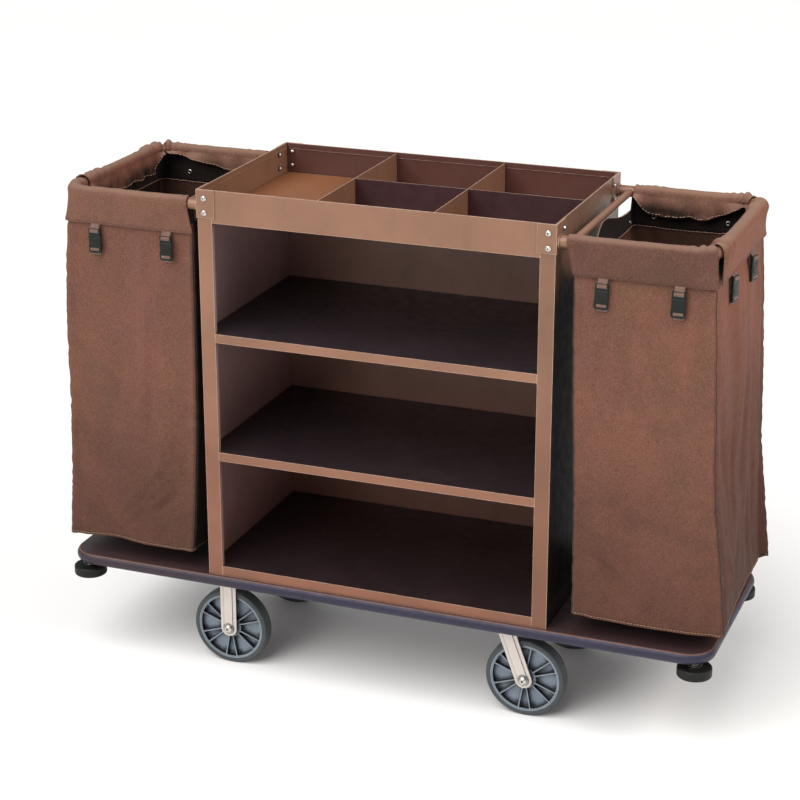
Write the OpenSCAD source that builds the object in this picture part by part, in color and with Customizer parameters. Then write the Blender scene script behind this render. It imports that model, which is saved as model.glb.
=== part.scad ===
// Housekeeping cart: an open cabinet with a divided top tray on a bumpered deck, a cloth bag
// hung from a tube hoop at each end, two fixed and two swivel casters, and four corner rollers.
// Millimetres. The floor is z = 0, x runs along the cart and y from front (-) to back (+).

/* [Cabinet] */
// Width across the two side panels
cabinet_w = 796; // [740:2:820]
// Depth from the front posts to the back flanges
cabinet_d = 468; // [440:2:470]
// Height from the deck to the rim of the tray
cabinet_h = 893; // [860:1:920]
// Thickness of the sheet steel
sheet_t = 1.5; // [1.2:0.1:2]
// Width of the front posts, folded from the side panels
post_w = 33; // [28:1:40]
// Height of the front lip of a shelf
shelf_lip = 20; // [16:1:26]
// Distance from one shelf to the next
shelf_pitch = 275; // [260:1:280]

/* [Tray] */
// Height of the tray's front apron
apron_h = 72; // [66:1:80]
// Place of the left divider from the middle of the cart
divider_left_x = -124; // [-160:1:-80]
// Place of the right divider from the middle of the cart
divider_right_x = 135; // [80:1:180]
// Place of the cross divider from the middle of the cart
divider_cross_y = -19; // [-80:1:80]
// Height of a corner bracket
bracket_h = 62; // [50:1:62]

/* [Bag hoops] */
// Outer diameter of the hoop tube
hoop_tube_d = 25; // [22:1:28]
// How far the middle of the hoop tube stands out from the cabinet
hoop_reach = 321; // [290:1:340]
// How far the middle of the hoop tube lies below the tray rim
hoop_drop = 37; // [28:1:40]
// Outer diameter of the cross bar
crossbar_d = 16; // [12:1:18]

/* [Bags] */
// Height of the bag's floor above the deck
bag_clearance = 43; // [20:1:80]
// How much wider the bag is at its foot than at its mouth
bag_flare = 27; // [0:1:30]
// Height of the turned-down cuff
cuff_h = 79; // [60:1:95]

/* [Deck] */
// Length of the deck board
deck_l = 1500; // [1480:2:1520]
// Depth of the deck board
deck_d = 476; // [476:2:490]
// Thickness of the deck board
deck_t = 24; // [20:1:28]
// Radius of the deck's corners
deck_r = 54; // [45:1:80]
// How far the edge band bulges out
band_bulge = 7; // [5:0.5:9]
// Diameter of a corner roller
roller_d = 75; // [65:1:78]

/* [Casters] */
// Diameter of a wheel over its tyre
wheel_d = 180; // [160:5:180]
// Height from the floor to the top of the caster plates
caster_h = 216; // [214:1:230]
// How far a swivel wheel trails behind its kingpin
caster_trail = 40; // [35:1:45]
// Place of the fixed casters, left of the middle
fixed_x = -372; // [-420:1:-320]
// Place of the swivel casters, right of the middle
swivel_x = 298; // [260:1:360]
// Place of the casters to each side of the middle
caster_y = 172; // [150:1:180]

/* [Hidden] */
$fn = 64;
eps = 0.01;
SIDES = [-1, 1];

// Colours
COAT = [0.55, 0.37, 0.26];
COAT_DARK = [0.27, 0.18, 0.18];
DECK = [0.22, 0.15, 0.16];
BAND = [0.27, 0.25, 0.40];
CLOTH = [0.44, 0.31, 0.26];
BLACK = [0.11, 0.11, 0.11];
STEEL = [0.80, 0.78, 0.74];
TREAD = [0.27, 0.30, 0.30];
CORE = [0.50, 0.56, 0.62];

// Levels
deck_top = caster_h + deck_t;
tray_top = deck_top + cabinet_h;
apron_z = tray_top - apron_h;
tray_floor_z = apron_z + 2 * sheet_t;

// Cabinet shell
half_w = cabinet_w / 2;
half_d = cabinet_d / 2;
web_in = half_w - sheet_t;
fit = 0.1;                       // gap left between two sheets that are welded or screwed
hem_h = 13;
post_return = 10;
back_flange = 20;
foot_flange = 24;
back_in = half_d - 2 * sheet_t;  // inner face of the back panel
shelf_first = 23;                // top of the lowest shelf above the deck
shelf_z = [for (i = [0:2]) deck_top + shelf_first + i * shelf_pitch];
flange_h = 14;

// Tray
divider_t = 1.2;
divider_top = tray_top - 2;
bracket_t = 2;
bracket_front = 42;
bracket_side = 58;
bracket_x = half_w + bracket_t;
bracket_y = half_d + bracket_t;
screw_z = [tray_top - 19, tray_top - 51];
screw_r = 2.5;
screw_front_x = half_w - 16;
screw_side_y = half_d - 48;
screw_head_r = 6.5;
screw_head_h = 3.6;
nut_r = 5.7;

// Hoops
tube_r = hoop_tube_d / 2;
hoop_z = tray_top - hoop_drop;
hoop_x = half_w + hoop_reach;
hoop_y = half_d - 15;
hoop_bend = 45;
tube_wall = 1.5;
crossbar_x = bracket_x + 28;

// Bags
bag_gap = 0.6;                   // clear space between cloth and tube
cloth_t = 2.5;
bag_out_x = hoop_x + tube_r + bag_gap + cloth_t;
bag_out_y = hoop_y + tube_r + bag_gap + cloth_t;
bag_in_x = crossbar_x + 6;
bag_top = hoop_z + tube_r + bag_gap + cloth_t;
bag_floor = deck_top + bag_clearance;
bag_foot_y = bag_out_y - 8;
bag_corner = 12;
bag_lip_z = hoop_z - 42;         // top edge of the wall beside the cabinet
buckle_w = 27;
buckle_t = 9;
buckle_x_left = [475, 648];      // places of the front and back buckles of each bag
buckle_x_right = [497, 654];
buckle_y = [-97, 63];            // places of the buckles on a bag's outer side
buckle_z = tray_top - 111;       // top of the closed buckle

// Casters
wheel_r = wheel_d / 2;
tyre_t = 10;
core_r = wheel_r - tyre_t;
tyre_half = 17;
hub_r = 19;
sleeve_r = 9;
run = 0.05;                      // running clearance on a radius
axle_r = 6;
fork_in = 22;
fork_t = 3;
fork_out = fork_in + fork_t;
leg_w = 38;
panel_w = 20;
panel_t = 1.4;
plate = [105, 85, 4];
plate_z = caster_h - plate[2];
plate_hole = [40, 30];
bolt_r = 4;
crown_z = plate_z - 13;
crown_t = 4;
crown_r = 33;
kingpin_r = 6;
rib_pairs = 6;
rib_half_angle = 10.5;
rib_t = 2.4;

// Corner rollers
roller_r = roller_d / 2;
roller_x = deck_l / 2 - 32;
roller_y = deck_d / 2 - 28;
roller_z = 180;
roller_h = 24;
roller_bolt_r = 6;

// ---- shared shapes ----

// A flat block with rounded upright edges, standing on z = 0 and centred on x and y.
module rounded_block(l, d, h, r) {
    translate([-l / 2 + r, -d / 2, 0]) cube([l - 2 * r, d, h]);
    translate([-l / 2, -d / 2 + r, 0]) cube([l, d - 2 * r, h]);
    for (sx = SIDES, sy = SIDES)
        translate([sx * (l / 2 - r), sy * (d / 2 - r), 0]) cylinder(r = r, h = h);
}

// A block given by two opposite corners.
module span(a, b) {
    translate(a) cube(b - a);
}

// A rod along x, starting at x = 0.
module rod_x(r, l) {
    rotate([0, 90, 0]) cylinder(r = r, h = l);
}

// A rod along y, centred on y = 0.
module rod_y(r, l) {
    rotate([90, 0, 0]) cylinder(r = r, h = l, center = true);
}

// Puts its children, made for the right side (+x), on either side.
module on_side(side) {
    if (side > 0) children();
    else mirror([1, 0, 0]) children();
}

// Puts its children, made for the front (-y), at the front or the back.
module at_end(end) {
    if (end < 0) children();
    else mirror([0, 1, 0]) children();
}

// ---- deck ----

module deck_board() {
    color(DECK)
    difference() {
        translate([0, 0, caster_h]) rounded_block(deck_l, deck_d, deck_t, deck_r);
        for (x = [fixed_x, swivel_x], y = SIDES * caster_y)
            translate([x, y, caster_h - 1]) caster_bolt_places() cylinder(r = bolt_r + 0.2, h = 16);
        for (sx = SIDES, sy = SIDES)
            translate([sx * roller_x, sy * roller_y, caster_h - 1])
                cylinder(r = roller_bolt_r + 0.2, h = 16);
        cabinet_bolt_places() translate([0, 0, -deck_t - 1]) cylinder(r = 3.2, h = deck_t + 2);
    }
}

// Section of the band: it stands out from x = 0 and bulges at half its height.
module band_section() {
    half = deck_t / 2;
    edge = 1.6;
    curve_r = (half * half + pow(band_bulge - edge, 2)) / (2 * (band_bulge - edge));
    intersection() {
        square([band_bulge, deck_t - 1]);
        translate([band_bulge - curve_r, half - 0.5]) circle(r = curve_r);
    }
}

module deck_edge_band() {
    straight_x = deck_l - 2 * deck_r;
    straight_y = deck_d - 2 * deck_r;
    color(BAND) translate([0, 0, caster_h]) {
        for (turn = [0, 180]) rotate([0, 0, turn]) {
            translate([deck_l / 2, straight_y / 2, 0])
                rotate([90, 0, 0]) linear_extrude(straight_y) band_section();
            translate([-straight_x / 2, deck_d / 2, 0])
                rotate([90, 0, 90]) linear_extrude(straight_x) band_section();
            translate([straight_x / 2, straight_y / 2, 0])
                rotate_extrude(angle = 90) translate([deck_r, 0]) band_section();
            translate([-straight_x / 2, straight_y / 2, 0]) rotate([0, 0, 90])
                rotate_extrude(angle = 90) translate([deck_r, 0]) band_section();
        }
    }
}

// ---- cabinet ----

// The places of the bolts that hold the cabinet to the deck, at the deck's top.
module cabinet_bolt_places() {
    for (side = SIDES, y = [-150, 0, 150])
        translate([side * (half_w - 14), y, deck_top]) children();
}

module cabinet_bolts() {
    color(STEEL) cabinet_bolt_places() {
        translate([0, 0, -deck_t + 2]) cylinder(r = 3, h = deck_t + sheet_t - 2 + eps);
        translate([0, 0, sheet_t]) cylinder(r1 = 6, r2 = 4.5, h = 3);
    }
}

// One side of the cabinet, folded from one sheet: front post, web, back flange, foot and hem.
module side_panel(side) {
    color(COAT) on_side(side) difference() {
        union() {
            span([web_in, -half_d, deck_top], [half_w, half_d, tray_top]);
            span([half_w - post_w, -half_d, deck_top], [half_w, -half_d + sheet_t, tray_top]);
            span([half_w - post_w, -half_d, deck_top],
                 [half_w - post_w + sheet_t, -half_d + post_return, apron_z - 2]);
            span([half_w - back_flange, half_d - sheet_t, deck_top], [half_w, half_d, tray_top]);
            span([half_w - foot_flange, -half_d + 14, deck_top],
                 [half_w, half_d - 14, deck_top + sheet_t]);
            span([web_in - sheet_t, -half_d + 4, tray_top - hem_h],
                 [web_in, half_d - 6, tray_top]);
        }
        bracket_screw_places() cylinder(r = screw_r + 0.2, h = 20, center = true);
        mirror([1, 0, 0]) cabinet_bolt_places() cylinder(r = 3.2, h = 10, center = true);
    }
}

module back_panel() {
    wide = web_in - fit;
    color(COAT_DARK) difference() {
        union() {
            span([-wide, back_in, deck_top], [wide, half_d - sheet_t, tray_top]);
            span([-wide + 6, back_in - sheet_t, tray_top - hem_h], [wide - 6, back_in, tray_top]);
            span([-wide + 26, back_in - 18, deck_top], [wide - 26, back_in, deck_top + sheet_t]);
        }
        for (side = SIDES) on_side(side)
            bracket_screw_places() cylinder(r = screw_r + 0.2, h = 20, center = true);
    }
}

// A shelf pan: front lip with its return, side and back flanges, and notched front corners.
module shelf(top_z, lip) {
    wide = web_in - fit;
    face_x = half_w - post_w - 0.2;
    face_y = -half_d + 0.5;
    bottom = top_z - lip;
    color(COAT) {
        span([-face_x, face_y, top_z - sheet_t], [face_x, back_in - fit, top_z]);
        span([-wide, -half_d + post_return + 1, top_z - sheet_t], [wide, back_in - fit, top_z]);
        span([-face_x, face_y, bottom], [face_x, face_y + sheet_t, top_z]);
        span([-face_x, face_y, bottom], [face_x, face_y + 11, bottom + sheet_t]);
        for (side = SIDES) on_side(side)
            span([wide - sheet_t, -half_d + 14, top_z - flange_h], [wide, back_in - 1, top_z]);
        span([-wide, back_in - fit - sheet_t, top_z - flange_h], [wide, back_in - fit, top_z]);
    }
}

module shelf_bottom() shelf(shelf_z[0], shelf_first - fit);
module shelf_middle() shelf(shelf_z[1], shelf_lip);
module shelf_top() shelf(shelf_z[2], shelf_lip);

// ---- tray ----

module tray_apron() {
    face_x = half_w - post_w;
    tab_x = web_in - 2;
    color(COAT) difference() {
        union() {
            span([-face_x, -half_d, apron_z], [face_x, -half_d + sheet_t, tray_top]);
            span([-tab_x, -half_d + sheet_t, apron_z + 4],
                 [tab_x, -half_d + 2 * sheet_t, tray_top - hem_h - 1]);
            span([-face_x, -half_d + sheet_t, tray_top - hem_h - 1 - eps],
                 [face_x, -half_d + 2 * sheet_t, tray_top]);
            span([-face_x, -half_d, apron_z], [face_x, -half_d + 20, apron_z + sheet_t]);
        }
        for (side = SIDES) on_side(side)
            bracket_screw_places() cylinder(r = screw_r + 0.2, h = 20, center = true);
        // The plate behind the apron's face is open between its two end tabs.
        span([-face_x + 12, -half_d + sheet_t, apron_z + sheet_t + eps],
             [face_x - 12, -half_d + 3 * sheet_t, tray_top - hem_h]);
    }
}

module tray_floor() {
    wide = web_in - fit;
    front = -half_d + 2 * sheet_t + fit;
    back = back_in - fit;
    low = apron_z + sheet_t + fit;
    color(COAT) {
        span([-wide, front, low], [wide, back, tray_floor_z]);
        for (side = SIDES) on_side(side)
            span([wide - sheet_t, front + 22, low - 12], [wide, back, low + eps]);
        span([-wide, back - sheet_t, low - 12], [wide, back, low + eps]);
    }
}

// A divider that runs from front to back.
module depth_divider(x) {
    front = -half_d + 2 * sheet_t + fit;
    back = back_in - sheet_t - fit;
    span([x - divider_t / 2, front, tray_floor_z], [x + divider_t / 2, back, divider_top]);
}

module divider_left() {
    color(COAT) depth_divider(divider_left_x);
}

// The right divider is slotted from its top edge, and the cross divider from its foot.
module divider_right() {
    middle = (tray_floor_z + divider_top) / 2;
    slot = divider_t / 2 + fit;
    color(COAT) difference() {
        depth_divider(divider_right_x);
        translate([divider_right_x, divider_cross_y, 0])
            span([-3, -slot, middle], [3, slot, divider_top + 1]);
    }
}

module divider_cross() {
    middle = (tray_floor_z + divider_top) / 2;
    slot = divider_t / 2 + fit;
    left = divider_left_x + divider_t / 2;
    right = web_in - sheet_t - fit;
    color(COAT) difference() {
        span([left, divider_cross_y - divider_t / 2, tray_floor_z],
             [right, divider_cross_y + divider_t / 2, divider_top]);
        translate([divider_right_x, divider_cross_y, 0])
            span([-slot, -3, tray_floor_z - 1], [slot, 3, middle]);
    }
}

// The screw places on the right side's two brackets. z points out of the cabinet there, and
// z = 0 is the bracket's outer face.
module bracket_screw_places() {
    for (end = SIDES, z = screw_z) at_end(end) {
        translate([screw_front_x, -bracket_y, z]) rotate([90, 0, 0]) children();
        translate([bracket_x, -screw_side_y, z]) rotate([0, 90, 0]) children();
    }
}

module bracket(side, end) {
    z = tray_top - bracket_h;
    color(COAT) on_side(side) difference() {
        at_end(end) {
            span([bracket_x - bracket_front, -bracket_y, z], [bracket_x, -half_d, tray_top]);
            span([half_w, -bracket_y, z], [bracket_x, -bracket_y + bracket_side, tray_top]);
        }
        bracket_screw_places() cylinder(r = screw_r + 0.2, h = 20, center = true);
    }
}

// A button head with a hexagonal socket, on a shank that reaches the nut.
module bracket_screw() {
    difference() {
        union() {
            cylinder(r = screw_head_r, h = 1.2);
            translate([0, 0, 1.2])
                cylinder(r1 = screw_head_r - 0.3, r2 = 3.8, h = screw_head_h - 1.2);
            translate([0, 0, -7.6]) cylinder(r = screw_r, h = 7.6 + eps);
        }
        translate([0, 0, 1.4]) cylinder(r = 1.9, h = 4, $fn = 6);
    }
}

module bracket_screws() {
    color(STEEL) for (side = SIDES) on_side(side) bracket_screw_places() bracket_screw();
}

// A domed cap nut inside the tray, on the innermost sheet.
module bracket_nuts() {
    inner = bracket_t + 2 * sheet_t;
    color(STEEL) for (side = SIDES, end = SIDES, z = screw_z) on_side(side) at_end(end) {
        translate([screw_front_x, -bracket_y + inner, z]) rotate([-90, 0, 0]) cap_nut();
        translate([bracket_x - bracket_t - sheet_t, -screw_side_y, z])
            rotate([0, -90, 0]) cap_nut();
    }
}

module cap_nut() {
    difference() {
        union() {
            cylinder(r = nut_r, h = 3, $fn = 6);
            translate([0, 0, 3 - eps]) intersection() {
                translate([0, 0, -1.2]) sphere(r = 4.6);
                cylinder(r = 5, h = 5);
            }
        }
        translate([0, 0, -1]) cylinder(r = screw_r + 0.02, h = 5.4);
    }
}

// ---- bag hoops ----

// The middle line of a hoop as a tube of radius r: out from the bracket, round and back.
module hoop_tube(r) {
    straight_x = hoop_x - hoop_bend - bracket_x;
    straight_y = 2 * (hoop_y - hoop_bend);
    for (sy = SIDES) {
        translate([bracket_x, sy * hoop_y, 0]) rod_x(r, straight_x);
        translate([hoop_x - hoop_bend, sy * (hoop_y - hoop_bend), 0])
            rotate([0, 0, sy > 0 ? 0 : -90])
                rotate_extrude(angle = 90) translate([hoop_bend, 0]) circle(r = r);
    }
    translate([hoop_x, 0, 0]) rod_y(r, straight_y);
}

module hoop(side) {
    color(COAT) on_side(side) translate([0, 0, hoop_z]) difference() {
        hoop_tube(tube_r);
        hoop_tube(tube_r - tube_wall);
    }
}

// The cross bar is saddled on to the two arms of the hoop.
module hoop_crossbars() {
    color(COAT) for (side = SIDES) on_side(side) translate([0, 0, hoop_z]) difference() {
        translate([crossbar_x, 0, 0]) rod_y(crossbar_d / 2, 2 * hoop_y);
        for (sy = SIDES) translate([bracket_x, sy * hoop_y, 0]) rod_x(tube_r, 60);
    }
}

module hoop_collars() {
    color(COAT) for (side = SIDES, sy = SIDES) on_side(side)
        translate([bracket_x, sy * hoop_y, hoop_z]) difference() {
            rod_x(tube_r + 2.5, 3.5);
            translate([-1, 0, 0]) rod_x(tube_r, 6);
        }
}

// ---- bags ----

// The space inside a tapered bag, from its foot to height top, moved in by inset.
module bag_body(inset, top) {
    mouth = [bag_in_x + inset, bag_out_x - inset];
    foot = [bag_in_x + 8 + inset, bag_out_x + bag_flare - inset];
    hull() {
        bag_slice(mouth, bag_out_y - inset, top - 1);
        bag_slice(foot, bag_foot_y - inset, bag_floor + inset);
    }
}

module bag_slice(x, half_y, z) {
    translate([(x[0] + x[1]) / 2, 0, z])
        rounded_block(x[1] - x[0], 2 * half_y, 1, bag_corner, $fn = 32);
}

// A bag: the cloth hangs outside the hoop, goes over the tube, and is turned down as a cuff.
module bag(side) {
    over_x = bag_out_x - 50;     // the cloth is notched where the tube bends
    over_y = bag_out_y - 50;
    tuck = 34;                   // width of the cloth that goes over the tube
    cuff_t = 2;
    color(CLOTH) on_side(side) {
        difference() {
            bag_body(0, bag_top);
            bag_body(cloth_t, bag_top + 10);
            span([bag_in_x - 1, -bag_out_y + 24, bag_lip_z],
                 [bag_in_x + 20, bag_out_y - 24, bag_top + 1]);
            span([bag_in_x - 1, -bag_out_y - 1, hoop_z - 20],
                 [bag_in_x + bag_corner + 1, bag_out_y + 1, bag_top + 1]);
        }
        for (sy = SIDES) at_end(sy) {
            span([bag_in_x + 8, -bag_out_y, bag_top - cloth_t],
                 [over_x, -bag_out_y + tuck, bag_top]);
            span([bag_in_x + 8, -bag_out_y + tuck - cloth_t, bag_top - 36],
                 [over_x, -bag_out_y + tuck, bag_top]);
            span([bag_in_x + 6, -bag_out_y - cuff_t, bag_top - cuff_h],
                 [over_x + 30, -bag_out_y + 2, bag_top]);
        }
        span([bag_out_x - tuck, -over_y, bag_top - cloth_t], [bag_out_x, over_y, bag_top]);
        span([bag_out_x - tuck, -over_y, bag_top - 36],
             [bag_out_x - tuck + cloth_t, over_y, bag_top]);
        span([bag_out_x - 2, -over_y - 30, bag_top - cuff_h],
             [bag_out_x + cuff_t + 1, over_y + 30, bag_top]);
    }
}

// The places of a bag's six buckles: x across, y out of the cloth, z up.
module buckle_places(side) {
    on_side(side) {
        for (end = SIDES, x = side < 0 ? buckle_x_left : buckle_x_right) at_end(end)
            translate([x, -bag_out_y - 0.9, buckle_z]) rotate([0, 0, 180]) children();
        for (y = buckle_y)
            translate([bag_out_x + 5.6, y, buckle_z]) rotate([0, 0, -90]) children();
    }
}

// The lower half of a side-release buckle, with side windows and a webbing bar at its foot.
module buckle_body() {
    h = 35;
    translate([0, 0, -53]) difference() {
        span([-buckle_w / 2, 0, 0], [buckle_w / 2, buckle_t, h]);
        span([-buckle_w / 2 - 1, 2.2, 15], [-buckle_w / 2 + 5, buckle_t - 2.2, 29]);
        span([buckle_w / 2 - 5, 2.2, 15], [buckle_w / 2 + 1, buckle_t - 2.2, 29]);
        span([-10.6, -1, 3.2], [10.6, buckle_t + 1, 8.8]);
        span([-9.6, 2, 12], [9.6, buckle_t - 2, h + 1]);
    }
}

// The upper half: a webbing bar, a guide tongue and two spring prongs with catches.
module buckle_tongue() {
    translate([0, 0, -17.8]) difference() {
        span([-buckle_w / 2 + 1, 0, 0], [buckle_w / 2 - 1, buckle_t, 17.8]);
        span([-10.6, -1, 9], [10.6, buckle_t + 1, 14.4]);
    }
    span([-2.6, 2.3, -39], [2.6, buckle_t - 2.3, -17.8]);
    for (side = SIDES) on_side(side)
        span([5.4, 2.3, -37.5], [9.2, buckle_t - 2.3, -17.8]);
}

module buckle_bodies() {
    color(BLACK) for (side = SIDES) buckle_places(side) buckle_body();
}

module buckle_tongues() {
    color(BLACK) for (side = SIDES) buckle_places(side) buckle_tongue();
}

// ---- casters ----

module caster_bolt_places() {
    for (sx = SIDES, sy = SIDES)
        translate([sx * plate_hole[0], sy * plate_hole[1], 0]) children();
}

module caster_bolts() {
    color(STEEL) for (x = [fixed_x, swivel_x], y = SIDES * caster_y)
        translate([x, y, plate_z]) caster_bolt_places() {
            cylinder(r = bolt_r, h = 17);
            translate([0, 0, -1.5]) cylinder(r = 8, h = 1.5);
            translate([0, 0, -6.5]) cylinder(r = 7.2, h = 5 + eps, $fn = 6);
        }
}

module caster_plate() {
    translate([0, 0, plate_z]) difference() {
        rounded_block(plate[0], plate[1], plate[2], 8);
        translate([0, 0, -1]) caster_bolt_places() cylinder(r = bolt_r + 0.3, h = 6);
    }
}

// One leg of a fork on its own centre line, leaning by an angle, with a pressed panel on its
// outer face. The axle is at the origin and the outer face looks along -y.
module fork_leg(lean, reach) {
    rotate([0, -lean, 0]) {
        rotate([90, 0, 0]) {
            translate([0, 0, fork_in]) cylinder(r = leg_w / 2, h = fork_t);
            translate([-leg_w / 2, 0, fork_in]) cube([leg_w, reach, fork_t]);
            translate([0, 0, fork_out - eps]) cylinder(r = panel_w / 2, h = panel_t);
            translate([-panel_w / 2, 0, fork_out - eps]) cube([panel_w, reach, panel_t]);
        }
    }
}

// Two legs and their cross plate, cut off level at height top above the axle.
module fork(lean, top) {
    reach = top / cos(lean) + leg_w;
    difference() {
        for (end = SIDES) at_end(end) fork_leg(lean, reach);
        span([-200, -60, top], [200, 60, top + 200]);
        rod_y(axle_r + 0.1, 80);
    }
}

module fixed_fork(end) {
    color(STEEL) translate([fixed_x, end * caster_y, 0]) {
        translate([0, 0, wheel_r]) fork(0, plate_z - wheel_r + eps);
        for (sy = SIDES) at_end(sy)
            span([-27, -fork_out - 5, plate_z - 7], [27, -fork_in, plate_z + eps]);
        caster_plate();
    }
}

// A domed bolt head with a socket, a washer under it, the axle, and a nut at the far end.
module axle_bolt() {
    face = fork_out + panel_t;
    rod_y(axle_r, 2 * face + 10);
    for (end = SIDES) at_end(end)
        translate([0, -face, 0]) rotate([90, 0, 0]) cylinder(r = 11.5, h = 1.6);
    translate([0, -face - 1.6, 0]) rotate([90, 0, 0]) difference() {
        union() {
            cylinder(r = 9, h = 2.4);
            translate([0, 0, 2.4 - eps]) cylinder(r1 = 9, r2 = 6, h = 3.2);
        }
        translate([0, 0, 2]) cylinder(r = 3.2, h = 6, $fn = 6);
    }
    translate([0, face + 1.6 + 4, 0]) rotate([90, 0, 0])
        cylinder(r = 10, h = 8, $fn = 6, center = true);
}

module axle_sleeve() {
    difference() {
        rod_y(sleeve_r, 2 * fork_in);
        rod_y(axle_r + 0.02, 2 * fork_in + 2);
    }
}

module fixed_axle_bolts() {
    color(STEEL) for (end = SIDES)
        translate([fixed_x, end * caster_y, wheel_r]) at_end(end) axle_bolt();
}

module fixed_axle_sleeves() {
    color(STEEL) for (end = SIDES)
        translate([fixed_x, end * caster_y, wheel_r]) axle_sleeve();
}

// The mounting plate of a swivel caster, with the upper race of its ball bearing.
module swivel_plates() {
    color(STEEL) for (end = SIDES) translate([swivel_x, end * caster_y, 0]) difference() {
        union() {
            caster_plate();
            translate([0, 0, plate_z - 6]) cylinder(r = crown_r - 4, h = 6 + eps);
        }
        translate([0, 0, plate_z - 10]) cylinder(r = kingpin_r, h = 20);
    }
}

module swivel_kingpins() {
    color(STEEL) for (end = SIDES) translate([swivel_x, end * caster_y, 0]) {
        translate([0, 0, crown_z - 5]) cylinder(r = kingpin_r, h = caster_h - crown_z + 5);
        translate([0, 0, crown_z - 5.1]) cylinder(r = 11, h = 5);
    }
}

// A swivel fork: the crown with its dust skirt, and two legs that trail behind the kingpin.
module swivel_fork(end) {
    lean = atan(caster_trail / (crown_z - wheel_r));
    color(STEEL) translate([swivel_x, end * caster_y, 0]) difference() {
        union() {
            translate([0, 0, crown_z]) cylinder(r = crown_r, h = crown_t);
            translate([0, 0, crown_z + crown_t - eps]) difference() {
                cylinder(r = crown_r, h = 6);
                translate([0, 0, -1]) cylinder(r = crown_r - 2.5, h = 8);
            }
            translate([caster_trail, 0, wheel_r])
                fork(lean, crown_z + crown_t - wheel_r);
        }
        translate([0, 0, crown_z - 1]) cylinder(r = kingpin_r + run, h = 20);
    }
}

module swivel_ball_ring(end) {
    color(STEEL) translate([swivel_x, end * caster_y, crown_z + crown_t]) difference() {
        cylinder(r = crown_r - 5, h = 2.9);
        translate([0, 0, -1]) cylinder(r = 14, h = 5);
    }
}

module swivel_axle(end) {
    translate([swivel_x + caster_trail, end * caster_y, wheel_r]) children();
}

module swivel_axle_bolt(end) {
    color(STEEL) swivel_axle(end) at_end(end) axle_bolt();
}

module swivel_axle_sleeve(end) {
    color(STEEL) swivel_axle(end) axle_sleeve();
}

// A moulded wheel: hub, thin web, rim, and pairs of ribs from the hub to the rim on each face.
module wheel_core() {
    rim_in = core_r - 6;
    rim_half = 15;
    color(CORE) rotate([90, 0, 0]) {
        rotate_extrude() {
            translate([sleeve_r + run, -21.6]) square([hub_r - sleeve_r - run, 43.2]);
            translate([hub_r - 1, -13]) square([7, 26]);
            translate([hub_r, -2.5]) square([rim_in - hub_r + 1, 5]);
            translate([rim_in, -rim_half]) square([core_r - rim_in, 2 * rim_half]);
            translate([core_r - 3, -rim_half - 1]) square([2, 2 * rim_half + 2]);
        }
        for (i = [0:rib_pairs - 1], da = [-rib_half_angle, rib_half_angle])
            rotate([0, 0, i * 360 / rib_pairs + da + 30])
                translate([hub_r + 2, -rib_t / 2, -rim_half + 0.6])
                    cube([rim_in - hub_r, rib_t, 2 * rim_half - 1.2]);
    }
}

// A rubber tyre with rounded shoulders.
module tyre() {
    shoulder = 5;
    color(TREAD) rotate([90, 0, 0]) rotate_extrude() {
        translate([core_r, -tyre_half]) square([tyre_t - shoulder, 2 * tyre_half]);
        translate([core_r, -tyre_half + shoulder]) square([tyre_t, 2 * (tyre_half - shoulder)]);
        for (s = SIDES)
            translate([wheel_r - shoulder, s * (tyre_half - shoulder)]) circle(r = shoulder);
    }
}

module at_wheel(x, end) {
    translate([x, end * caster_y, wheel_r]) children();
}

// ---- corner rollers ----

module roller(side, end) {
    edge = 4;
    color(BLACK) translate([side * roller_x, end * roller_y, roller_z])
        rotate_extrude() difference() {
            union() {
                square([roller_r - edge, roller_h - 2]);
                translate([0, edge]) square([roller_r, roller_h - 2 - 2 * edge]);
                for (z = [edge, roller_h - 2 - edge])
                    translate([roller_r - edge, z]) circle(r = edge);
                square([22, roller_h]);
            }
            translate([-1, -1]) square([1 + roller_bolt_r + run, roller_h + 2]);
            translate([-1, -1]) square([13, 8]);
            translate([-5, -1]) square([5, roller_h + 2]);
        }
}

module roller_bolts() {
    color(STEEL) for (sx = SIDES, sy = SIDES) translate([sx * roller_x, sy * roller_y, 0]) {
        translate([0, 0, roller_z + 6]) cylinder(r = roller_bolt_r, h = caster_h - roller_z + 6);
        translate([0, 0, roller_z + 1]) cylinder(r = 10, h = 5.9, $fn = 6);
    }
}

module roller_spacers() {
    low = roller_z + roller_h + 0.2;
    color(STEEL) for (sx = SIDES, sy = SIDES)
        translate([sx * roller_x, sy * roller_y, low]) difference() {
            union() {
                cylinder(r = 17, h = 2);
                cylinder(r = 11, h = caster_h - low);
            }
            translate([0, 0, -1]) cylinder(r = roller_bolt_r + 0.02, h = 40);
        }
}

deck_board();
deck_edge_band();
side_panel(-1);  // side_panel_left
side_panel(1);  // side_panel_right
back_panel();
shelf_bottom();
shelf_middle();
shelf_top();
cabinet_bolts();
tray_apron();
tray_floor();
divider_left();
divider_right();
divider_cross();
bracket(-1, -1);  // bracket_front_left
bracket(1, -1);  // bracket_front_right
bracket(-1, 1);  // bracket_back_left
bracket(1, 1);  // bracket_back_right
bracket_screws();
bracket_nuts();
hoop(-1);  // hoop_left
hoop(1);  // hoop_right
hoop_crossbars();
hoop_collars();
bag(-1);  // bag_left
bag(1);  // bag_right
buckle_bodies();
buckle_tongues();
fixed_fork(-1);  // fixed_fork_front
fixed_fork(1);  // fixed_fork_back
fixed_axle_bolts();
fixed_axle_sleeves();
caster_bolts();
swivel_plates();
swivel_kingpins();
swivel_fork(-1);  // swivel_fork_front
swivel_fork(1);  // swivel_fork_back
swivel_ball_ring(-1);  // swivel_ball_ring_front
swivel_ball_ring(1);  // swivel_ball_ring_back
swivel_axle_bolt(-1);  // swivel_axle_bolt_front
swivel_axle_bolt(1);  // swivel_axle_bolt_back
swivel_axle_sleeve(-1);  // swivel_axle_sleeve_front
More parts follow.
